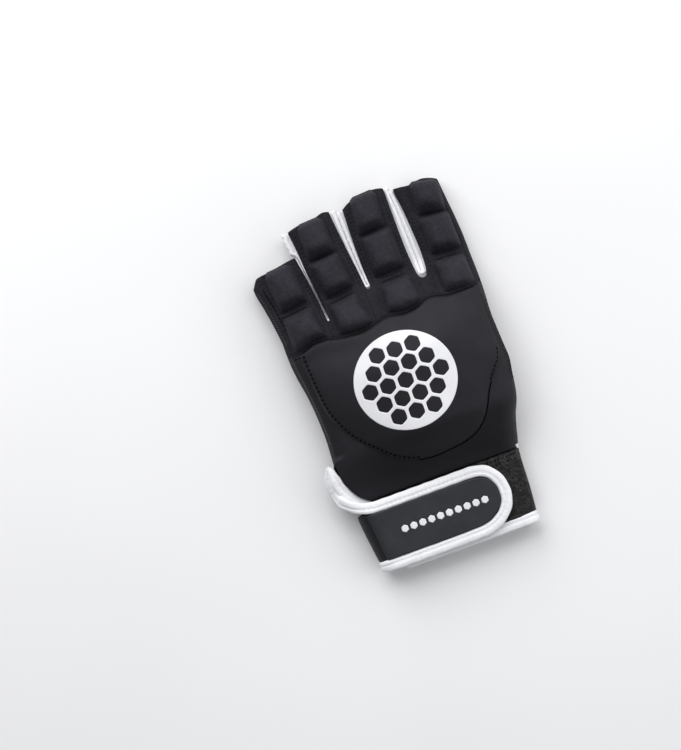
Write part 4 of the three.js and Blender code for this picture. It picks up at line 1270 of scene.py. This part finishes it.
def wrist_strap():
    grid = strap_grid(0, 60, TAPE_STEP)
    relief = strap_thickness(grid.shape) + 0.08 * small_waves(grid[..., 0], grid[..., 1])
    upper, lower = thick_sheet(grid, STRAP_THICK - 0.2, relief=relief - 0.2)
    add_piece("wrist_strap", closed_sheet(upper, lower), "neoprene", NEOPRENE)


def label_relief(x, y):
    return 0.12 * soft_waves(x * 1.5, y * 1.5) + 0.05 * small_waves(x * 1.6, y * 1.6)


def strap_label():
    grid = strap_grid(LABEL_FROM, 70, LABEL_STEP)
    edge = np.arange(grid.shape[0])[:, None] * LABEL_STEP
    relief = label_relief(grid[..., 0], grid[..., 1]) - 0.35 * np.exp(-(edge / 0.9) ** 2)
    upper, lower = thick_sheet(grid, LABEL_THICK, (STRAP_THICK + LABEL_THICK) / 2 + GAP, relief)
    add_piece("strap_label", closed_sheet(upper, lower), "label", LABEL)


LABEL_MARKS = [(x, -67.9) for x in np.linspace(-38.5, 5.5, 10)]
LABEL_MARK_APOTHEM = 1.8
MARK_RISE = 0.12
MARK_SINK = 0.2
CORNER_SHARPNESS = 18


def label_marks():
    """A row of small hexagons printed along the label."""
    turn = np.linspace(0, math.tau, 60, endpoint=False)
    sides = np.abs(np.cos(turn[:, None] - np.radians([0, 60, 120])))
    reach = LABEL_MARK_APOTHEM / (sides ** CORNER_SHARPNESS).sum(1) ** (1 / CORNER_SHARPNESS)
    rings = np.linspace(0.25, 1, 4)[:, None]
    points, groups, count = [], [], 0
    for mark_x, mark_y in LABEL_MARKS:
        x, y = mark_x + rings * reach * np.cos(turn), mark_y + rings * reach * np.sin(turn)
        top = STRAP_Z + STRAP_THICK / 2 + GAP + LABEL_THICK + label_relief(x, y)
        middle = [[mark_x, mark_y, top.mean() + MARK_RISE], [mark_x, mark_y, top.mean() - MARK_SINK]]
        mark, faces = disc_body(x, y, top + MARK_RISE, top - MARK_SINK, middle)
        points.append(mark)
        groups += [group + count for group in faces]
        count += len(mark)
    add_piece("label_marks", (np.vstack(points), groups), "label", PRINT, stands_for_node=False)


def tape_section(width, thick):
    """Section of a folded tape: a flat oval with a sewn channel on each side."""
    turn = np.linspace(0, math.tau, TAPE_SIDES, endpoint=False)
    u = -np.sign(np.cos(turn)) * np.abs(np.cos(turn)) ** 0.8
    v = np.sign(np.sin(turn)) * np.abs(np.sin(turn)) ** 0.62
    sink = CHANNEL_DEPTH * np.exp(-((np.abs(u - TAPE_SEAM)) / 0.13) ** 1.6)
    return np.stack([u * width / 2, np.sign(v) * (np.abs(v) * thick / 2 - sink * (np.abs(v) > 0.5))], 1)


def tape_strip(name, path, looks, width, thick, first_width=1.0, last_width=1.0):
    """A sewn tape along a path, with the slight gathers that its stitches pull."""
    section = tape_section(width, thick)
    run = lengths_along(path)[:, None]
    u = section[:, 0][None] / (width / 2)
    gather = 0.035 * np.cos(math.tau * run / 2.4) * (1 - np.abs(u) ** 2)
    swell = 1 + gather + 0.04 * np.sin(run * 0.41 + 3 * u) + 0.02 * np.sin(run * 1.7 + 1.3 * u)
    sections = np.repeat(section[None], len(path), axis=0)
    sections[..., 1] *= swell
    sections[..., 0] *= 1 + 0.025 * np.sin(run * 0.8 + 2) * np.abs(u)
    ends = roll(run, 2.8) * roll(run[-1] - run, 2.8)
    sections *= np.maximum(ends, 0.05)[..., None]
    taper = lerp(first_width, 1, ramp(run, 0, 9)) * lerp(last_width, 1, ramp(run[-1] - run, 0, 9))
    sections[..., 0] *= taper
    add_piece(name, sweep(path, looks, sections), "white_fabric", TAPE)


def strap_tape_line():
    rows = rows_of(STRAP_TAPE)
    rows[:, 3:] = unit(rows[:, 3:])
    fine = spaced(spline(rows, 10), TAPE_STEP)
    return fine[:, :3], unit(fine[:, 3:])


def slit_tape_line():
    line = spaced(spline(rows_of(SLIT_TAPE), 12), TAPE_STEP)
    y = line[:, 1]
    low = back_low(back_left(y) + 1, y)
    drop = lerp(SLIT_TAPE_DROP, 0.6, ramp(y, -48, -40)) + SLIT_TOP_DROP * ramp(y, -31, -25)
    z = low + LOOP_THICK / 2 - drop
    z = np.convolve(np.pad(z, 6, mode="edge"), np.ones(13) / 13, "valid")
    path = np.column_stack([line, z])
    return path, np.tile([0.0, 0.0, 1.0], (len(path), 1))


def cuff_tape_line():
    """Round the mouth of the cuff: over the back, round the right side and along the palm."""
    y = HAND["y"][0]
    left, right = HAND["back_left"][0], HAND["right"][0]
    places = []
    for x in (-45.8, -30, -10, 8, 18, 22, 25, 27.2):
        low = hand_levels(x, y, left, right)[1]
        places.append((x, min(float(low) + LOOP_THICK / 2, 12.9)))
    places.append((right - 0.4, SEAM_RISE + PALM_THICK + GAP / 2))
    for x in (26.4, 23.6, 19, 8, -12, -30, -43.6):
        low = hand_levels(x, y, HAND["palm_left"][0], right)[0]
        places.append((x, max(float(low) + PALM_THICK / 2, FLAT_TAPE_THICK / 2)))
    line = spaced(spline(places, 12), TAPE_STEP)
    toward_strap = 3.4 * ramp(-line[:, 0], 12, 40) * (line[:, 1] < 4)
    path = np.column_stack([line[:, 0], y - TAPE_WIDTH / 2 + CUFF_TAPE_LAP + toward_strap, line[:, 1]])
    along = unit(np.gradient(path, axis=0))
    return path, np.cross(along, np.tile([0.0, 1.0, 0.0], (len(path), 1)))


# Palm side
# How far the palm's end rises inside the tape round the cuff's mouth, from one y to another
PALM_TUCK = 0.8
PALM_TUCK_FROM, PALM_TUCK_TO = -81, -77
PALM_ROWS = 64


def palm_panel():
    share = np.linspace(0, 1, PALM_ROWS)[:, None]
    y = lerp(CUFF_MOUTH, COLUMN_BASE[:, 1][None], share)
    x = lerp(palm_left(y), right_edge(y) - palm_inset(y), COLUMN_SHARE[None])
    x = lerp(x, COLUMN_BASE[:, 0][None], ramp(share, 0.75, 1))
    low = hand_levels(x, y, palm_left(y), right_edge(y) - palm_inset(y))[0]
    low = low + PALM_TUCK * (1 - ramp(y, PALM_TUCK_FROM, PALM_TUCK_TO))
    x, y, low, cells = with_fingers((x, y, low), 0, 2)
    shape = layer(x, y, low, low + PALM_THICK, present=cells)
    add_piece("palm_panel", shape, "palm_suede", SUEDE, LINING, kinds=[1, 0, 0])


THUMB_BACK_Z = THUMB_PAD_HEIGHT + GAP + THUMB_BACK_THICK / 2
THUMB_FINE = 48
THUMB_SPAN = 7
THUMB_ROLL = 7


def thumb_grid(rows, t):
    """Places across the thumb's sections, and from 0 at a side seam to 1 inside of it."""
    width = np.hypot(rows[:, 2] - rows[:, 0], rows[:, 3] - rows[:, 1])[:, None]
    inside = roll(np.minimum(t, 1 - t) * width, THUMB_ROLL)
    return lerp(rows[:, 0:1], rows[:, 2:3], t), lerp(rows[:, 1:2], rows[:, 3:4], t), inside


def thumb_fold():
    t = np.linspace(0, 1, THUMB_FINE)
    y = lerp(-37.0, -1.5, t)
    edge = right_edge(y)
    top = underside(edge, y) + SEAM_RISE + PALM_THICK - GAP
    rows = []
    for down, inward in zip(THUMB_FOLD["down"], THUMB_FOLD["inward"]):
        rows.append(np.stack([edge - THUMB_BACK_THICK / 2 - inward, y, lerp(top, THUMB_BACK_Z, down)], 1))
    return rows


def thumb_back():
    t = np.linspace(0, 1, THUMB_FINE)[None]
    rows = rows_of(THUMB_ROWS)
    x, y, inside = thumb_grid(rows, t)
    z = THUMB_BACK_Z + np.maximum(THUMB_EDGE_RISE * (1 - inside), rows[:, 4:5])
    coarse = np.concatenate([np.stack(thumb_fold()), np.dstack([x, y, z])])
    grid = np.stack([spline(coarse[:, k], THUMB_SPAN) for k in range(THUMB_FINE)], 1)[:, ::-1]
    add_piece("thumb_back", closed_sheet(*thick_sheet(grid, THUMB_BACK_THICK)), "neoprene", NEOPRENE)


def thumb_palm():
    t = np.linspace(1, 0, THUMB_FINE)[None]
    rows = spline(rows_of(THUMB_ROWS), THUMB_SPAN)[::-1]
    x, y, inside = thumb_grid(rows, t)
    middle = THUMB_PAD_HEIGHT + GAP + THUMB_BACK_THICK + THUMB_ROOM
    seamed = THUMB_BACK_Z + THUMB_EDGE_RISE + THUMB_BACK_THICK / 2 + GAP + 0.2
    closed = np.maximum(1 - inside, rows[:, 4:5] / THUMB_EDGE_RISE)
    low = np.minimum(lerp(middle, seamed, closed), underside(x, y) - THUMB_PALM_THICK - GAP)
    add_piece("thumb_palm", layer(x, y, low, low + THUMB_PALM_THICK), "palm_suede", SUEDE)


def thumb_pad(name, x, y, width, length):
    """A pad on the thumb's back, which faces the table and is flattened by it."""
    half_x, half_y = width / 2, length / 2
    u, v = pad_grid(half_x, half_y, 52, 44)
    rim = rounded_box(u, v, half_x, half_y, 4)
    foam = rounded_box(u, v, half_x - 2, half_y - 2, 3)
    height = (THUMB_PAD_HEIGHT - 0.05) * np.where(foam > 0, np.minimum(roll(foam, 2.4), 1), -1)
    cloth = drape(height, rim <= 0)
    px = x + u * math.cos(THUMB_TURN) - v * math.sin(THUMB_TURN)
    py = y + u * math.sin(THUMB_TURN) + v * math.cos(THUMB_TURN)
    over = np.full(px.shape, THUMB_PAD_HEIGHT + 0.1)
    shape = layer(px, py, THUMB_PAD_HEIGHT - np.maximum(cloth, 0), over, steps=2)
    add_piece(name, shape, "knit", KNIT, fill=0.9)


# Printed disc on the shield: an open honeycomb
PRINT_MIDDLE = (-12.3, 4.6)
PRINT_HALF = (26.8, 25.6)
PRINT_STEP = 0.36
PRINT_RISE = 0.16
PRINT_SINK = 0.1
CELL_RINGS = 2
CELL_PITCH = 9.6
CELL_APOTHEM = 3.95
CELL_ROUND = 0.7


def ellipse_inset(x, y, half_x, half_y):
    """About how far a place is inside an ellipse."""
    reach = np.hypot(x / half_x, y / half_y)
    slope = np.hypot(x / half_x ** 2, y / half_y ** 2) / np.maximum(reach, 1e-6)
    return (1 - reach) / np.maximum(slope, 1e-6)


def honeycomb(x, y):
    """How far a place is inside the printed shape, negative outside it."""
    hole = np.full(x.shape, -99.0)
    for r in range(-CELL_RINGS, CELL_RINGS + 1):
        for q in range(max(-CELL_RINGS, -CELL_RINGS - r), min(CELL_RINGS, CELL_RINGS - r) + 1):
            cx = (q + r / 2) * CELL_PITCH
            cy = r * CELL_PITCH * math.sqrt(3) / 2
            ways = np.radians([0, 60, 120])
            sides = [abs((x - cx) * math.cos(way) + (y - cy) * math.sin(way)) for way in ways]
            far = sum(np.exp((side - CELL_APOTHEM) / CELL_ROUND * 2) for side in sides)
            hole = np.maximum(hole, -np.log(far) * CELL_ROUND / 2)
    return np.minimum(ellipse_inset(x, y, *PRINT_HALF), -hole)


def rim_points(present):
    """Grid points with a cell that exists on one side and none on another."""
    cells = np.pad(present, 1)
    around = [cells[1:, 1:], cells[:-1, 1:], cells[1:, :-1], cells[:-1, :-1]]
    return np.logical_or.reduce(around) & ~np.logical_and.reduce(around)


def shield_print():
    half_x, half_y = PRINT_HALF
    x = np.arange(-half_x - 1, half_x + 1, PRINT_STEP)[None]
    y = np.arange(-half_y - 1, half_y + 1, PRINT_STEP)[:, None]
    x, y = [side.copy() for side in np.broadcast_arrays(x, y)]
    present = honeycomb((x[1:, 1:] + x[:-1, :-1]) / 2, (y[1:, 1:] + y[:-1, :-1]) / 2) > 0
    rim = rim_points(present)
    nudge = 0.01
    for _ in range(4):
        inset = honeycomb(x, y)
        slope_x = (honeycomb(x + nudge, y) - inset) / nudge
        slope_y = (honeycomb(x, y + nudge) - inset) / nudge
        size = np.maximum(slope_x ** 2 + slope_y ** 2, 0.2)
        x = np.where(rim, x - inset * slope_x / size, x)
        y = np.where(rim, y - inset * slope_y / size, y)
    x, y = x + PRINT_MIDDLE[0], y + PRINT_MIDDLE[1]
    seat = shield_top(x, y)
    shape = layer(x, y, seat - PRINT_SINK, seat + PRINT_RISE, present=present, steps=1)
    add_piece("shield_print", shape, "label", PRINT, stands_for_node=False)


# Stitches: short bent capsules in rows. The open rows on the shield and in the tapes have the wide pitch.
WIDE_PITCH = 2.4


class Stitches:
    """All stitches of one thread, gathered in one mesh."""

    def __init__(self, name, material, slot, sides=6, rings=7):
        self.name, self.material, self.slot = name, material, slot
        self.sides, self.rings = sides, rings
        self.points, self.faces, self.count = [], [], 0
        self.cells = tube_faces(rings, sides)

    def add(self, middles, along, up, length, width, rise):
        """One stitch at each middle. It lies along one way and arches a little up from the cloth."""
        along = unit(along)
        side = unit(np.cross(up, along))
        up = np.cross(along, side)
        s = np.linspace(-1, 1, self.rings)
        radius = width / 2 * np.sqrt(np.clip(1 - (0.93 * s) ** 4, 0.05, 1))
        arch = rise * (1 - s ** 2)
        turn = np.linspace(0, math.tau, self.sides, endpoint=False)
        spine = middles[:, None] + along[:, None] * (s * length / 2)[:, None] + up[:, None] * arch[:, None]
        cos, sin = np.cos(turn)[:, None], np.sin(turn)[:, None]
        around = side[:, None, None] * cos + up[:, None, None] * sin
        rings = spine[:, :, None] + around * radius[:, None, None]
        ends = middles[:, None] + along[:, None] * np.array([[-1.06], [1.06]]) * length / 2
        points = np.concatenate([rings.reshape(len(middles), -1, 3), ends], axis=1)
        size = points.shape[1]
        start = self.count + size * np.arange(len(middles))
        self.points.append(points.reshape(-1, 3))
        self.faces += [(start[:, None, None] + cells).reshape(-1, cells.shape[1]) for cells in self.cells]
        self.count += size * len(middles)

    def on_surface(self, x, y, along, surface, length, width, rise, lift):
        """Stitches on a surface that gives the height at a place. along is their ways, seen from above."""
        nudge = 0.25
        slope_x = (surface(x + nudge, y) - surface(x - nudge, y)) / (2 * nudge)
        slope_y = (surface(x, y + nudge) - surface(x, y - nudge)) / (2 * nudge)
        up = unit(np.stack([-slope_x, -slope_y, np.ones_like(x)], 1))
        rising = along[:, 0] * slope_x + along[:, 1] * slope_y
        way = unit(np.column_stack([along, rising]))
        self.add(np.column_stack([x, y, surface(x, y)]) + up * lift, way, up, length, width, rise)

    def along_line(self, line, surface, pitch=2.2, length=1.6, width=0.5, rise=0.12, slant=0.0, lift=0.0):
        """A row of stitches on a surface."""
        line = spaced(line, pitch)
        middles = (line[1:] + line[:-1]) / 2
        turn = np.array([[math.cos(slant), -math.sin(slant)], [math.sin(slant), math.cos(slant)]])
        along = unit(np.diff(line, axis=0)[:, :2] @ turn.T)
        self.on_surface(middles[:, 0], middles[:, 1], along, surface, length, width, rise, lift)

    def along_tape(self, path, looks, thick, width):
        """A row of stitches in the channel of a tape."""
        joined = spaced(np.hstack([path, looks]), WIDE_PITCH)
        middles, look = (joined[1:, :3] + joined[:-1, :3]) / 2, unit(joined[1:, 3:] + joined[:-1, 3:])
        along = unit(np.diff(joined[:, :3], axis=0))
        across = unit(np.cross(along, look))
        places = middles + look * (thick / 2 - 0.55) + across * TAPE_SEAM * width / 2
        self.add(places, along, look, length=1.6, width=0.36, rise=0.06)

    def make(self):
        shape = np.vstack(self.points), self.faces
        add_piece(self.name, shape, self.slot, self.material, stands_for_node=False)


def inset_line(line, distance):
    """A line moved to its left."""
    along = unit(np.gradient(line, axis=0))
    return line + distance * np.stack([-along[:, 1], along[:, 0]], 1)


def across_line(curve, low, high, above):
    """Places on a line that is given as y of x, moved up."""
    x = np.arange(low, high, 1.0)
    return np.stack([x, curve(x) + above], 1)


def up_line(curve, low, high, inward):
    """Places on an edge that is given as x of y, moved to the right."""
    y = np.arange(low, high, 1.0)
    return np.stack([curve(y) + inward, y], 1)


def cuff_seam(x):
    return np.full_like(x, CUFF_TOP)


# Loops of thread round the back's thumb-side edge: from and to which y, how far inside the edge's line, their
# spacing, and their height above the back's lower surface
EDGE_LOOPS = (-14, 31)
EDGE_LOOP_INSET = 0.3
EDGE_LOOP_PITCH = 2.1
EDGE_LOOP_LIFT = 1.1

# Overcast rows of fine thread up the edges: edge, from and to which y, how far inside it and slant
LITTLE_SIDE_ROWS = [(back_left, -14, 34, 0.9, 1.2), (FINGER_LEFT[0], 42, 74, 0.9, 1.2)]
THUMB_SIDE_ROWS = [(right_edge, -14, 34, -0.9, -1.2)]

# The close rows in folds and seams; the one in the shield's fold is a painted dark line for the groove's
# shade
CLOSE_ROW = {"pitch": 0.9, "length": 1.1, "lift": 0.02}
SHIELD_SEAM = spaced(spline(SHIELD_OUTLINE, 8), 1.0)


def shield_stitches(thread):
    """Open rows along the sides of the shield cover, and a close one in the fold at its wrist end: a
    near-continuous black line that paints the groove's shade.
    """
    x, y = SHIELD_SEAM.T
    row = inset_line(SHIELD_SEAM, lerp(0.4, 1.1, ramp(y, -13, -4) + (x < 0))[:, None])
    x, y = row.T
    thread.along_line(row[x < -18], shield_top, pitch=WIDE_PITCH, length=1.25, width=0.75, lift=0.06)
    thread.along_line(row[(x > 28.5) & (y < 5)], shield_top, pitch=WIDE_PITCH, lift=0.06)
    # Painted shade: a near-continuous black line in the groove along the cover's wrist end
    fold = inset_line(SHIELD_SEAM, -0.4)
    x, y = fold.T
    thread.along_line(fold[(x > -20) & (y < -11)], back_top, width=0.5, **CLOSE_ROW)


def seam_stitches(thread):
    """Close rows at the knuckle and cuff seams, and the open rows beside them."""
    thread.along_line(across_line(knuckle_y, -63.5, 41, -0.5), back_top, width=0.3, **CLOSE_ROW)
    thread.along_line(across_line(cuff_seam, -46, 30.6, 0.3), back_top, width=0.4, **CLOSE_ROW)
    thread.along_line(across_line(knuckle_y, -63, -52, -1.9), back_top, pitch=2.0, width=0.6, lift=0.1)
    for above, slant in zip(CUFF_SEAMS, (0.7, -0.7)):
        line = across_line(cuff_seam, 8, 30, above)
        thread.along_line(line, cuff_top, length=1.5, width=0.42, slant=slant, lift=0.1)


def overcast(thread, rows):
    for *edge, slant in rows:
        thread.along_line(up_line(*edge), back_top, pitch=1.3, length=1.5, width=0.3, slant=slant)


def edge_loops(thread):
    line = spaced(up_line(right_edge, *EDGE_LOOPS, -EDGE_LOOP_INSET), EDGE_LOOP_PITCH)
    x, y = (line[1:] + line[:-1]).T / 2
    places = np.column_stack([x, y, back_low(x, y) + EDGE_LOOP_LIFT])
    along = np.column_stack([np.diff(line, axis=0), np.zeros(len(x))])
    thread.add(places, along, np.tile([1.0, 0.0, 0.3], (len(x), 1)), length=1.9, width=0.8, rise=0.3)


def corner_tack(thread):
    """Four stitches that hold the back's corner at the cuff seam."""
    y = np.linspace(-48.6, -46.9, 4)
    along = np.tile([1.0, 0.15], (4, 1))
    thread.on_surface(np.full(4, 30.9), y, along, wrist_top, length=2.6, width=0.6, rise=0.1, lift=0.3)


def flange_stitches(first, other):
    """A row up each side of each finger, the little finger's outer one in the first thread."""
    for f in range(4):
        left = (first, 0.5) if f == 0 else (other, 0.28)
        for across, edge, inward, (thread, width) in (
            (0.0, FINGER_LEFT[f], LEFT_FLANGE[f], left),
            (1.0, FINGER_RIGHT[f], -RIGHT_FLANGE, (other, 0.28)),
        ):
            low, high = float(finger_base(f, across)) + 1, float(finger_tip(f, across)) - 1.5
            thread.along_line(up_line(edge, low, high, inward), back_top, pitch=FLANGE_PITCH, width=width)


def stitches():
    # The black thread also paints the shade of its stitch holes
    black = Stitches("black_stitches", BLACK_THREAD_AND_HOLE_SHADE, "neoprene")
    white = Stitches("white_stitches", WHITE_THREAD, "white_fabric")
    grey = Stitches("grey_stitches", GREY_THREAD, "knit")
    soft = Stitches("knit_stitches", KNIT_THREAD, "knit")
    shield_stitches(black)
    seam_stitches(black)
    overcast(grey, LITTLE_SIDE_ROWS)
    overcast(black, THUMB_SIDE_ROWS)
    edge_loops(black)
    corner_tack(white)
    flange_stitches(black, soft)
    white.along_tape(*strap_tape_line(), TAPE_THICK, TAPE_WIDTH)
    white.along_tape(*slit_tape_line(), FLAT_TAPE_THICK, SLIT_TAPE_WIDTH)
    white.along_tape(*cuff_tape_line(), FLAT_TAPE_THICK, TAPE_WIDTH)
    for thread in (black, white, grey, soft):
        thread.make()


def wrist_top(x, y):
    """Upper surface about the seam between the back and the cuff."""
    return hand_low(x, y) + LOOP_THICK


def cuff_top(x, y):
    """Upper surface of the loop panel."""
    return wrist_top(x, y) + cuff_detail(x, y)


LOOP_COUNT = 4200
# The strap's end as an ellipse: its middle and its half sizes
STRAP_END = (0, -67.7, 18.6, 17)


def loop_pile():
    """The upright loops of the panel's face, where the strap leaves it bare."""
    draw = np.random.default_rng(31)
    x, y = draw.uniform(1, 30.6, LOOP_COUNT), draw.uniform(-82.2, CUFF_TOP - 1, LOOP_COUNT)
    end_x, end_y, half_x, half_y = STRAP_END
    under_strap = ((x - end_x) / half_x) ** 2 + ((y - end_y) / half_y) ** 2 < 1
    sewn = np.min([np.abs(y - CUFF_TOP - offset) for offset in CUFF_SEAMS], axis=0) < 0.8
    bare = ~under_strap & ~sewn & (x < right_edge(y) - 0.5)
    x, y = x[bare], y[bare]
    turn = draw.uniform(0, math.pi, len(x))
    along = np.stack([np.cos(turn), np.sin(turn)], 1)
    pile = Stitches("loop_pile", LOOP, "loop_fabric", sides=4, rings=5)
    pile.on_surface(x, y, along, cuff_top, length=0.95, width=0.2, rise=0.5, lift=0.02)
    pile.make()


# Everything in its place
finger_back()
shield_print()
stitches()
for pad_name in PADS:
    finger_pad(pad_name)
hand_back()
shield_cover()
cuff_loop_panel()
for f, fingers in enumerate(("little_ring", "ring_middle", "middle_index")):
    gusset("gusset_" + fingers, f)
wrist_strap()
strap_label()
label_marks()
loop_pile()
tape_strip("strap_binding", *strap_tape_line(), TAPE_WIDTH, TAPE_THICK, last_width=0.5)
tape_strip("slit_binding", *slit_tape_line(), SLIT_TAPE_WIDTH, FLAT_TAPE_THICK, first_width=0.5)
tape_strip("cuff_binding", *cuff_tape_line(), TAPE_WIDTH, FLAT_TAPE_THICK)
palm_panel()
thumb_back()
thumb_palm()
for pad_name, sizes in THUMB_PADS.items():
    thumb_pad(pad_name, *sizes)


# Camera, lights and floor
VIEW_CENTRE = (-0.0290, 0.0116)
VIEW_HEIGHT = 1.3
VIEW_LEVEL = 0.015
VIEW_SPAN = 0.390
VIEW_TURN = math.radians(-20)
FLOOR_HALF = 3.0
FLOOR_DROP = 0.0002


def camera():
    data = bpy.data.cameras.new("camera")
    data.sensor_width = 36
    data.lens = data.sensor_width * VIEW_HEIGHT / VIEW_SPAN
    data.clip_start, data.clip_end = 0.05, 20
    made = bpy.data.objects.new("camera", data)
    made.location = (*VIEW_CENTRE, VIEW_HEIGHT + VIEW_LEVEL)
    made.rotation_euler = (0, 0, VIEW_TURN)
    bpy.context.scene.collection.objects.link(made)
    bpy.context.scene.camera = made


def area_light(name, direction, elevation, distance, size, power):
    """A soft lamp that looks at the glove. direction is in the picture, counterclockwise from its right."""
    turn = math.radians(direction) + VIEW_TURN
    rise = math.radians(elevation)
    data = bpy.data.lights.new(name, "AREA")
    data.shape = "RECTANGLE"
    data.size, data.size_y = size, size
    data.energy = power
    made = bpy.data.objects.new(name, data)
    flat = distance * math.cos(rise)
    made.location = (flat * math.cos(turn), flat * math.sin(turn), distance * math.sin(rise))
    made.rotation_mode = "QUATERNION"
    made.rotation_quaternion = made.location.to_track_quat("Z", "Y")
    bpy.context.scene.collection.objects.link(made)


def world():
    made = bpy.data.worlds.new("studio")
    made.use_nodes = True
    background = made.node_tree.nodes["Background"]
    background.inputs["Color"].default_value = (0.95, 0.97, 1.0, 1)
    background.inputs["Strength"].default_value = 0.26
    bpy.context.scene.world = made


def floor():
    mesh = bpy.data.meshes.new("floor")
    corners = [(x * FLOOR_HALF, y * FLOOR_HALF, 0) for x, y in ((-1, -1), (1, -1), (1, 1), (-1, 1))]
    mesh.from_pydata(corners, [], [(0, 1, 2, 3)])
    made = bpy.data.objects.new("floor", mesh)
    made.location = (0, 0, -FLOOR_DROP)
    bpy.context.scene.collection.objects.link(made)
    mesh.materials.append(floor_finish())
    made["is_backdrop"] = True


camera()
world()
floor()
area_light("key", direction=124, elevation=42, distance=1.3, size=1.3, power=17.5)
area_light("fill", direction=42, elevation=42, distance=1.4, size=1.2, power=8)
area_light("side", direction=0, elevation=26, distance=1.4, size=0.8, power=4)
bpy.context.scene.view_settings.view_transform = "Standard"

visual_low, visual_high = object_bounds()
sizes = {
    "cad": [list(cad_low), list(cad_high)],
    "visual": [list(visual_low), list(visual_high)],
}
